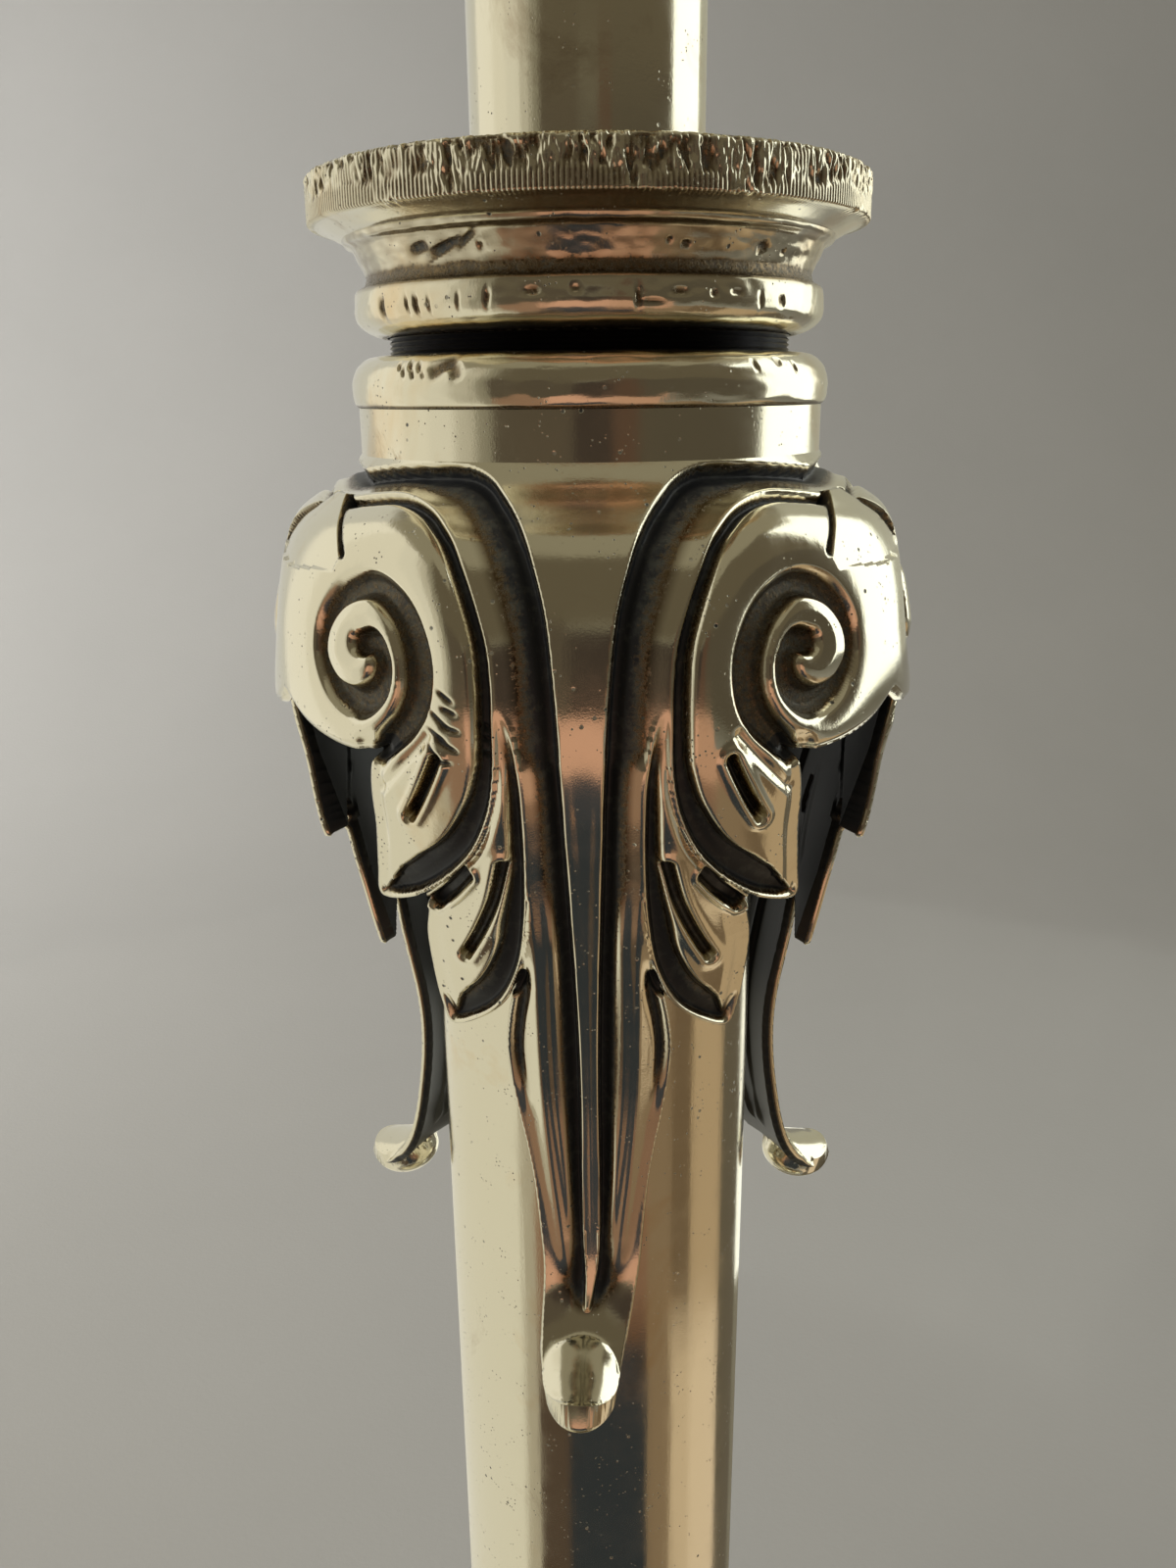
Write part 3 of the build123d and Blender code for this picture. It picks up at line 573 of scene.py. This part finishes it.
def leaf_back(leaf, s, front, lift, ball, edge):
    """Plain back of the leaf: thick at the shell, thin towards the tail, round behind the knob."""
    places = [*leaf.length([-40, -70, -150]), leaf.knob_s - 9, leaf.knob_s]
    thick = np.interp(s, places, [6, 3.4, 3, 3, 0.4])
    back = np.minimum(np.minimum(lift - thick, front - 1.2), -np.maximum(ball, 0) - KNOB_DROP)
    return np.where(edge, front - 0.62 * thick, back)


def compact(faces):
    """Faces renumbered over the vertices that they use, and those vertices."""
    used = np.unique(faces)
    small = np.zeros(used[-1] + 1, int)
    small[used] = np.arange(used.size)
    return small[faces], used


def capital_leaf(name, turn, leaf, columns, step, material, nicked=False):
    """One whole leaf: sculpted front, plain back and rounded free edge."""
    x, s, keep, edge = leaf_grid(leaf, columns, step)
    grow_x, grow_s = outward(keep)
    front, lift, ball, cavity = relief(leaf, x - 0.35 * edge * grow_x, s - 0.35 * edge * grow_s)
    x = np.vstack([-x[:0:-1], x])
    pair = lambda g: np.vstack([g[:0:-1], g])
    s, edge, front, lift, ball, cavity = map(pair, (s, edge, front, lift, ball, cavity))
    if nicked:
        cut = nicks(leaf, x, s)
        front, cavity = front - cut, np.maximum(cavity, np.minimum(1.4 * cut, 0.9))
    keep = np.vstack([keep[::-1], keep])
    back = leaf_back(leaf, s, front, lift, ball, edge)
    # the leaf backs get the full dark cavity value, except behind the knob
    back_darkness = np.where(ball > -1.0, 0.0, BLACK)
    cols, rows = x.shape
    number = np.arange(cols * rows).reshape(cols, rows)
    i, j = np.nonzero(keep)
    quads = np.column_stack([number[i, j], number[i, j + 1], number[i + 1, j + 1], number[i + 1, j]])
    shown = s[i, j] > leaf.length(-52)
    backs = quads[shown][:, ::-1] + cols * rows
    rim = rim_quads(keep, number, cols * rows)
    flat = (x.ravel(), s.ravel())
    mid = np.where(edge, (front + back) / 2, front).ravel()
    grow_x, grow_s = outward(keep)
    lip = 0.55 * (1 - ramp(s, leaf.knob_s - 6.0, leaf.knob_s)).ravel()
    points = np.vstack([
        leaf.place(*flat, front.ravel(), turn),
        leaf.place(*flat, back.ravel(), turn),
        leaf.place(flat[0] + lip * grow_x.ravel(), flat[1] + lip * grow_s.ravel(), mid, turn),
    ])
    dirt = np.concatenate([cavity.ravel(), back_darkness.ravel(), cavity.ravel() * 0])
    seam = np.zeros(cols * rows, int)
    seam[number[0]], seam[number[-1]] = -1, 1
    faces, used = compact(np.vstack([quads, backs, rim]))
    points, dirt, seam = points[used], dirt[used], np.tile(seam, 3)[used]
    normals = smooth_normals(points, faces, seam, turn)
    obj = mesh_object(name, points, faces.tolist(), "stand", material, dirt)
    obj.data.normals_split_custom_set_from_vertices(normals)
    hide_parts("capital")
    return obj


def rim_quads(keep, number, n):
    """Quads from the front's free edge over the rounding vertices to the back."""
    pad = np.pad(keep, 1)
    out = []
    sides = (
        (1, 0, (1, 0), (1, 1)), (-1, 0, (0, 1), (0, 0)), (0, 1, (1, 1), (0, 1)), (0, -1, (0, 0), (1, 0))
    )
    for di, dj, p, q in sides:
        i, j = np.nonzero(keep & ~pad[1 + di : 1 + di + keep.shape[0], 1 + dj : 1 + dj + keep.shape[1]])
        if di:
            ok = (i + di >= 0) & (i + di < keep.shape[0])
        else:
            ok = j + dj >= 0
        i, j = i[ok], j[ok]
        a, b = number[i + p[0], j + p[1]], number[i + q[0], j + q[1]]
        out.append(np.column_stack([a, b, b + 2 * n, a + 2 * n]))
        out.append(np.column_stack([a + 2 * n, b + 2 * n, b + n, a + n]))
    return np.vstack(out)


def outward(keep):
    """Unit flat direction away from the kept cells at each vertex."""
    c = np.pad(keep.astype(float), 1, mode="edge")
    c = (c[:-1, :-1] + c[:-1, 1:] + c[1:, :-1] + c[1:, 1:]) / 4
    for _ in range(6):
        c[1:-1, 1:-1] = (c[:-2, 1:-1] + c[2:, 1:-1] + c[1:-1, :-2] + c[1:-1, 2:]) / 4
    gx, gs = -np.gradient(c, axis=0), -np.gradient(c, axis=1)
    size = np.hypot(gx, gs) + 1e-9
    return gx / size, gs / size


def capital_hub(material):
    """Dark web inside the casting, between the shell and the column."""
    profile = [
        (66.0, -36.0), (66.5, -50.0), (60.0, -51.5), (50.0, -54.0), (43.5, -60.0), (42.0, -84.0), (40.2, -85.0)
    ]
    hub = lathe("capital_hub", profile, 96, "stand", material, base_cavity=0.7)
    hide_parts("capital")


# ------------------------------------------------------------------ turned pieces


def lathe(name, profile, columns, body, material, dent=None, base_cavity=0.0):
    """Turned surface from (radius, height) points, listed so that the outside is on their right going down.

    dent(angle, radius, height) gives how far each point is pushed in and its patina."""
    p = np.asarray(profile, float)
    a = np.linspace(0, 2 * math.pi, columns, endpoint=False)
    tr, th = np.gradient(p[:, 0]), np.gradient(p[:, 1])
    size = np.hypot(tr, th) + 1e-9
    r, h = (np.broadcast_to(v, (columns, len(p))).copy() for v in (p[:, 0], p[:, 1]))
    cavity = np.full(r.shape, base_cavity)
    if dent is not None:
        push, dark = dent(a[:, None], p[:, 0][None, :], p[:, 1][None, :])
        r += push * th / size
        h -= push * tr / size
        cavity = np.maximum(cavity, dark)
    along_x, along_y = r * np.sin(a)[:, None] * MM, -r * np.cos(a)[:, None] * MM
    points = np.dstack([along_x, along_y, DATUM + h * MM]).reshape(-1, 3)
    n = np.arange(columns * len(p)).reshape(columns, len(p))
    m = np.roll(n, -1, axis=0)
    faces = np.stack([n[:, :-1], n[:, 1:], m[:, 1:], m[:, :-1]], axis=-1).reshape(-1, 4)
    return mesh_object(name, points, faces.tolist(), body, material, cavity.ravel())


def rows(*points, pitch=0.5):
    """Profile points with every straight or curved run filled at this pitch."""
    out = []
    for (r0, h0), (r1, h1) in zip(points[:-1], points[1:]):
        n = max(1, int(math.hypot(r1 - r0, h1 - h0) / pitch))
        out += [(r0 + (r1 - r0) * k / n, h0 + (h1 - h0) * k / n) for k in range(n)]
    return out + [points[-1]]


def fillet(r, h, size, start, stop, n=5):
    """Points of a rounded corner with this centre, from start to stop degrees."""
    a = np.radians(np.linspace(start, stop, n))
    return [(r + size * math.cos(k), h + size * math.sin(k)) for k in a]


def patch_noise(columns, rows_n, seed, across, down, slant=0.0):
    """Smooth noise over a turned band, longer across or down, that closes round the piece."""
    v = np.random.default_rng(seed).normal(size=(columns, rows_n))
    f = np.fft.fft2(v)
    ka, kb = np.fft.fftfreq(columns) * columns, np.fft.fftfreq(rows_n) * rows_n
    f *= np.exp(-(((ka[:, None] + slant * kb) / across) ** 2) - (kb / down) ** 2)
    v = np.fft.ifft2(f).real
    return v / v.std()


FLANGE_TOP, FLANGE_BOTTOM, FLANGE_R = 41.6, 32.3, 59.9
TEETH = 396


def flange_dents(a, r, h):
    """Milled edge, chewed into gouges along its upper half."""
    on_rim = ramp(r, FLANGE_R - 1.2, FLANGE_R - 0.3)
    n = (a.size, r.size)
    teeth = 0.5 - 0.5 * np.cos(TEETH * a)
    place = ramp(h, 34.5, 37.0) + 0.35 * patch_noise(*n, 5, 26, 3) - 0.1
    chewed = np.clip(place, 0, 1)
    gouge = patch_noise(*n, 11, 210, 4, 14.0)
    gouge = np.clip(gouge * 0.4 + 0.35, 0, 1) + 0.3 * np.clip(patch_noise(*n, 12, 420, 8), 0, 1)
    push = on_rim * ((1 - 0.75 * chewed) * 0.16 * teeth + chewed * 0.8 * gouge)
    return push, on_rim * np.clip(0.40 * teeth * (1 - chewed) + chewed * 0.85 * (gouge - 0.40), 0, 0.7)


def milled_flange(material):
    top = rows((25.4, FLANGE_TOP - 0.2), (26.5, FLANGE_TOP), (57.6, FLANGE_TOP), pitch=4.0)
    edge = fillet(FLANGE_R - 1.1, FLANGE_TOP - 1.1, 1.1, 80, 10, 5)
    rim = rows((FLANGE_R, FLANGE_TOP - 1.3), (FLANGE_R, FLANGE_BOTTOM + 0.7), pitch=0.42)
    under = fillet(FLANGE_R - 0.6, FLANGE_BOTTOM + 0.6, 0.6, -15, -75, 4)
    under += [(58.2, 32.1), (56.6, 31.6), (54.8, 30.6), (53.2, 29.8), (49.0, 29.6)]
    profile = top + edge + rim + under
    columns = 6 * TEETH
    obj = lathe("milled_flange_rim", profile, columns, "nut", material, flange_dents)
    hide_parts("milled_flange")


MARKED_R = 51.0  # radius of the dented bands, near enough for placing the dents


def marks(a, h, places):
    """Sum of small dents, each (degrees, height, half width, half height, slant, depth), in mm."""
    out = 0.0
    for deg, hh, wide, tall, slant, depth in places:
        x = MARKED_R * ((a - math.radians(deg) + math.pi) % (2 * math.pi) - math.pi)
        y = h - hh
        p, q = x * math.cos(slant) + y * math.sin(slant), y * math.cos(slant) - x * math.sin(slant)
        out = out + depth * np.exp(-np.maximum(np.abs(p / wide) ** 3, 0) - np.abs(q / tall) ** 3)
    return out


NUT_MARKS = [  # gouge and scratches of the neck, then the nicks of the lower ring
    (-41, 25.5, 2.6, 0.9, 0.15, 0.7), (-33, 25.3, 4.0, 0.7, 0.25, 0.8), (-27, 26.3, 2.4, 0.5, 0.5, 0.6),
    (-36, 23.8, 3.2, 0.25, 0.3, 0.35), (-24, 25.2, 0.5, 0.5, 0, 0.4), (17, 25.5, 0.5, 0.4, 0, 0.4),
    (21, 25.0, 0.9, 0.4, 0, 0.5), (42, 25.2, 1.4, 0.8, 0.3, 0.6), (50, 24.8, 0.6, 0.4, 0, 0.4),
    (-54, 15.4, 1.0, 1.8, 0.1, 0.7), (-44, 15.6, 0.35, 1.6, 0.2, 0.5), (-41, 15.4, 0.6, 1.8, 0.2, 0.6),
    (-37, 15.2, 0.35, 1.6, 0.1, 0.4), (-29, 15.6, 0.3, 1.4, 0, 0.35), (-22, 16.0, 0.5, 1.4, -0.1, 0.5),
    (-12, 17.0, 1.5, 0.7, 0, 0.5), (-3, 17.2, 0.9, 0.6, 0, 0.4), (10, 15.8, 0.6, 1.6, 0, 0.5),
    (13, 15.0, 2.4, 0.5, 0, 0.4), (19, 16.8, 1.6, 0.6, 0, 0.5), (27, 16.6, 0.7, 0.7, 0, 0.5),
    (33, 16.9, 1.3, 0.5, 0, 0.5), (40, 15.6, 0.5, 1.2, 0.1, 0.4), (47, 15.8, 0.9, 1.0, 0, 0.5),
]


def nut_dents(a, r, h):
    worn = 0.12 * patch_noise(a.size, r.size, 21, 14, 5)
    wide = patch_noise(a.size, r.size, 23, 70, 12)
    nick = marks(a, h, NUT_MARKS)
    ring = ramp(h, 18.6, 20.5) * (1 - ramp(h, 21.5, 23.5))
    under = 1 - ramp(h, 10.3, 11.0)
    # the neck is made darker from just above the ring up to the flange, a little unevenly
    neck_darkening = 0.17 * ramp(h, 20.0, 23.0) * (1 + 0.25 * wide)
    return nick + 0.10 * worn + 0.03 * wide, np.clip(nick * 0.9, 0, 0.6) + 0.5 * ring + 0.7 * under + neck_darkening


def clamp_nut(material):
    neck = spline([(53.0, 29.9), (52.6, 28.9), (50.9, 28.0), (49.8, 25.8), (48.8, 23.9), (48.2, 22.3)], 0.4)
    ring = rows((48.5, 21.0), (49.3, 20.2), pitch=0.4) + fillet(49.6, 18.9, 1.2, 75, 0, 5)
    band = rows((50.9, 18.0), (51.1, 15.4), (50.9, 14.4), pitch=0.4)
    band += [(50.6, 13.6), (50.0, 12.8), (49.2, 12.1), (48.2, 11.5), (47.0, 11.0), (45.8, 10.7)]
    base = [(45.0, 10.5), (44.4, 10.5)]
    profile = [tuple(v) for v in neck] + ring + band + base
    obj = lathe("clamp_nut_body", profile, 960, "nut", material, nut_dents)
    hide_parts("clamp_nut")


RING_MARKS = [  # plier teeth at the left, a flat bruise beside them, and a few nicks at the right
    (-47.0, 4.2, 0.35, 0.8, 0.5, 0.5), (-45.2, 3.2, 0.35, 1.0, 0.5, 0.6), (-43.4, 4.4, 0.4, 0.9, 0.5, 0.6),
    (-42.0, 2.8, 0.4, 1.0, 0.5, 0.6), (-40.2, 4.0, 0.35, 1.0, 0.5, 0.5), (-38.6, 2.6, 0.35, 0.8, 0.5, 0.4),
    (-35.0, 3.4, 1.5, 1.5, 0.4, 0.55), (-32.0, 4.6, 1.8, 1.2, 0.3, 0.7), (-29.5, 3.0, 1.2, 1.4, 0.4, 0.45),
    (38.0, 3.8, 0.5, 0.9, 0.3, 0.4), (46.0, 4.4, 1.0, 0.7, 0, 0.4), (52.0, 3.4, 0.5, 1.0, 0.2, 0.4),
]


def ring_dents(a, r, h):
    nick = marks(a, h, RING_MARKS)
    wide = patch_noise(a.size, r.size, 31, 40, 8)
    return nick + 0.03 * wide, np.clip(nick * 0.8, 0, 0.6) + 0.6 * (1 - ramp(h, -3.6, -3.0))


def collar_ring(material):
    half_round = [
        (47.6, 6.7), (48.8, 6.4), (50.3, 5.5), (51.6, 4.0), (52.3, 2.3), (52.6, 0.4), (52.5, -1.6),
        (52.2, -3.0), (51.7, -3.6), (51.0, -3.9),
    ]
    profile = rows((43.8, 6.8), (46.6, 6.8), pitch=0.8) + [tuple(v) for v in spline(half_round, 0.35)]
    obj = lathe("collar_ring_body", profile, 960, "stand", material, ring_dents)
    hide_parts("collar_ring")


# ------------------------------------------------------------------ stage, light and camera


def backdrop():
    """Pale floor that turns up into a wall behind the candlestick."""
    y = [-2.6, 1.0] + [1.0 + 0.9 * math.sin(a) for a in np.linspace(0.2, 1.57, 8)] + [1.9]
    z = [0.0, 0.0] + [0.9 - 0.9 * math.cos(a) for a in np.linspace(0.2, 1.57, 8)] + [3.2]
    verts = [(x, yy, zz) for yy, zz in zip(y, z) for x in (-3.0, 3.0)]
    faces = [(2 * k, 2 * k + 1, 2 * k + 3, 2 * k + 2) for k in range(len(y) - 1)]
    mesh = bpy.data.meshes.new("floor")
    mesh.from_pydata(verts, [], faces)
    mesh.polygons.foreach_set("use_smooth", [True] * len(mesh.polygons))
    floor = bpy.data.objects.new("floor", mesh)
    bpy.context.scene.collection.objects.link(floor)
    t = Tree("floor")
    tone = t.mix(t.range(t.noise(3.0), 0.3, 0.7), (0.435, 0.433, 0.43, 1), (0.455, 0.452, 0.449, 1))
    mesh.materials.append(t.finish(tone, 0.9, t.bump(t.noise(300.0), 0.0002), 0.0))


def light(name, place, aim, size, power, colour):
    lamp = bpy.data.lights.new(name, "AREA")
    lamp.shape, lamp.size, lamp.size_y = "RECTANGLE", size[0], size[1]
    lamp.energy, lamp.color = power, colour
    obj = bpy.data.objects.new(name, lamp)
    obj.location = place
    way = [a - b for a, b in zip(aim, place)]
    obj.rotation_euler = Vector(way).to_track_quat("-Z", "Y").to_euler()
    obj.visible_camera = obj.visible_glossy = False
    bpy.context.scene.collection.objects.link(obj)


def card(name, corners, colour):
    """Glowing card that only the metal mirrors: it lights nothing and no camera sees it."""
    mesh = bpy.data.meshes.new(name)
    mesh.from_pydata(corners, [], [tuple(range(k, k + 4)) for k in range(0, len(corners), 4)])
    material = bpy.data.materials.new(name)
    material.use_nodes = True
    shader = material.node_tree.nodes["Principled BSDF"]
    shader.inputs["Base Color"].default_value = (0, 0, 0, 1)
    shader.inputs["Specular IOR Level"].default_value = 0.0
    shader.inputs["Emission Color"].default_value = (*colour, 1)
    shader.inputs["Emission Strength"].default_value = 1.0
    mesh.materials.append(material)
    obj = bpy.data.objects.new(name, mesh)
    obj.visible_camera = obj.visible_diffuse = obj.visible_shadow = obj.visible_transmission = False
    bpy.context.scene.collection.objects.link(obj)


def sector(start, stop, inner, outer):
    """Corners of a ring sector made of flat cards; inner and outer are (radius, height)."""
    n = max(1, round(abs(stop - start) / 12))
    turns = [math.radians(start + (stop - start) * k / n) for k in range(n + 1)]
    at = lambda a, edge: (edge[0] * math.sin(a), -edge[0] * math.cos(a), edge[1])
    corners = []
    for a, b in zip(turns, turns[1:]):
        corners += [at(a, inner), at(b, inner), at(b, outer), at(a, outer)]
    return corners


WALL_R = 1.1  # distance of the upright cards from the axis
MAT_Z = 0.012  # height of the flat cards over the floor
WALLS = [  # degrees right of the camera, heights in metres, colour
    (-172, -128, 0.0, 1.7, (0.62, 0.61, 0.56)),
    (-128, -100, 0.0, 1.7, (0.90, 0.87, 0.77)),
    (-100, -82, 0.0, 1.7, (0.80, 0.765, 0.655)),
    (-82, -66, 0.0, 1.6, (0.74, 0.71, 0.61)),
    (-66, -55, 0.0, 1.5, (0.52, 0.49, 0.40)),
    (-55, -46, 0.0, 1.5, (0.26, 0.24, 0.18)),
    (-46, -8, 0.30, 0.86, (0.092, 0.074, 0.052)),
    (-8, 10, 0.30, 0.80, (0.050, 0.038, 0.030)),
    (10, 22, 0.30, 0.86, (0.100, 0.060, 0.040)),
    (22, 88, 0.30, 0.86, (0.088, 0.074, 0.052)),
    (-46, 88, 0.86, 1.9, (0.120, 0.100, 0.066)),
    (88, 133, 0.34, 1.7, (1.7, 1.75, 1.6)),
    (133, 172, 0.34, 1.7, (0.42, 0.41, 0.33)),
]
MATS = [  # degrees right of the camera, distances in metres, colour
    (-180, -58, 0.19, 1.1, (0.74, 0.71, 0.60)),
    (-58, -46, 0.19, 1.1, (0.44, 0.40, 0.31)),
    (-46, -22, 0.19, 0.42, (0.085, 0.060, 0.042)),
    (-22, 36, 0.19, 0.42, (0.032, 0.037, 0.042)),
    (-46, -22, 0.42, 2.4, (0.28, 0.17, 0.11)),
    (-22, 9, 0.42, 0.75, (0.048, 0.050, 0.056)),
    (-22, 9, 0.75, 2.4, (0.64, 0.36, 0.245)),
    (9, 36, 0.42, 0.62, (0.24, 0.14, 0.09)),
    (9, 36, 0.62, 2.4, (0.50, 0.29, 0.19)),
    (36, 56, 0.19, 1.1, (0.24, 0.17, 0.105)),
    (56, 74, 0.19, 0.42, (0.60, 0.47, 0.32)),
    (56, 74, 0.42, 1.1, (0.16, 0.11, 0.065)),
    (74, 106, 0.19, 0.42, (0.70, 0.56, 0.40)),
    (74, 106, 0.42, 1.1, (0.46, 0.34, 0.21)),
    (106, 138, 0.19, 1.1, (0.125, 0.105, 0.075)),
    (138, 180, 0.19, 0.42, (0.20, 0.18, 0.13)),
    (138, 180, 0.42, 1.1, (1.2, 1.2, 1.05)),
]


def reflections():
    """What the metal mirrors: a wide window at the left, a narrow one at the right, a dim warm room."""
    for k, (start, stop, z0, z1, colour) in enumerate(WALLS):
        card(f"mirror_wall_{k}", sector(start, stop, (WALL_R, z0), (WALL_R, z1)), colour)
    for k, (start, stop, near, far, colour) in enumerate(MATS):
        card(f"mirror_floor_{k}", sector(start, stop, (near, MAT_Z), (far, MAT_Z)), colour)


def world():
    """Dim warm room, brighter overhead."""
    room = bpy.data.worlds.new("room")
    room.use_nodes = True
    nodes, links = room.node_tree.nodes, room.node_tree.links
    place = nodes.new("ShaderNodeTexCoord")
    split = nodes.new("ShaderNodeSeparateXYZ")
    height = nodes.new("ShaderNodeMapRange")
    height.inputs["From Min"].default_value, height.inputs["From Max"].default_value = 0.05, 0.75
    mix = nodes.new("ShaderNodeMix")
    mix.data_type = "RGBA"
    mix.inputs[6].default_value = (0.16, 0.145, 0.105, 1)
    mix.inputs[7].default_value = (0.27, 0.245, 0.175, 1)
    links.new(place.outputs["Generated"], split.inputs[0])
    links.new(split.outputs["Z"], height.inputs["Value"])
    links.new(height.outputs["Result"], mix.inputs[0])
    links.new(mix.outputs[2], nodes["Background"].inputs["Color"])
    bpy.context.scene.world = room


def lighting():
    """Soft light from the left, with weaker fills from the right and above."""
    light("key_left", (-1.3, -0.1, 0.9), (0, 0.2, 0.4), (1.6, 1.6), 15.0, (1.0, 0.97, 0.90))
    light("fill_right", (1.2, -0.3, 1.1), (0, 0.3, 0.3), (1.0, 1.2), 5.0, (0.97, 1.0, 0.97))
    light("overhead", (0.0, 0.2, 2.3), (0, 0.2, 0.0), (1.8, 1.8), 5.5, (1.0, 0.99, 0.97))
    light("wall_wash", (-1.5, 0.7, 1.0), (-1.2, 1.9, 0.6), (0.8, 1.4), 14.0, (1.0, 0.99, 0.97))
    light("floor_wash", (-1.6, 0.2, 0.5), (-1.1, 1.0, 0.0), (0.9, 0.9), 2.5, (1.0, 0.99, 0.97))


CAMERA_AT = (-0.00131, -0.2914, DATUM)
CAMERA_DOWN, CAMERA_ROLL = 0.3113, -0.0102  # radians


def camera():
    """Level with the clamp, close in front, looking 17.8 degrees down."""
    data = bpy.data.cameras.new("camera")
    data.lens, data.sensor_width = 28.284, 36.0
    data.clip_start = 0.01
    obj = bpy.data.objects.new("camera", data)
    tilt = Matrix.Rotation(math.pi / 2 - CAMERA_DOWN, 4, "X") @ Matrix.Rotation(CAMERA_ROLL, 4, "Z")
    obj.matrix_world = Matrix.Translation(CAMERA_AT) @ tilt
    bpy.context.scene.collection.objects.link(obj)
    bpy.context.scene.camera = obj


# ------------------------------------------------------------------ the candlestick


def dress_cad(looks):
    """Gives every CAD node the material of its slot in the record."""
    for row in frame["record"]["subparts"]:
        obj = frame["nodes"][row["node"]]
        obj.data.materials.clear()
        obj.data.materials.append(looks[row["material_slot"]])


looks = materials()
dress_cad(looks)
capital_leaf("leaf_front", math.radians(-1.9), Leaf(-1.0, -2.5), 180, 0.4, looks["cast_plate"], nicked=True)
capital_leaf("leaf_right", math.radians(118.1), Leaf(8.0), 110, 0.55, looks["cast_plate"])
capital_leaf("leaf_left", math.radians(-121.9), Leaf(8.0), 110, 0.55, looks["cast_plate"])
capital_hub(looks["cast_plate"])
milled_flange(looks["clamp_plate"])
clamp_nut(looks["clamp_plate"])
collar_ring(looks["clamp_plate"])
backdrop()
lighting()
reflections()
world()
camera()
bpy.context.scene.view_settings.view_transform = "Standard"
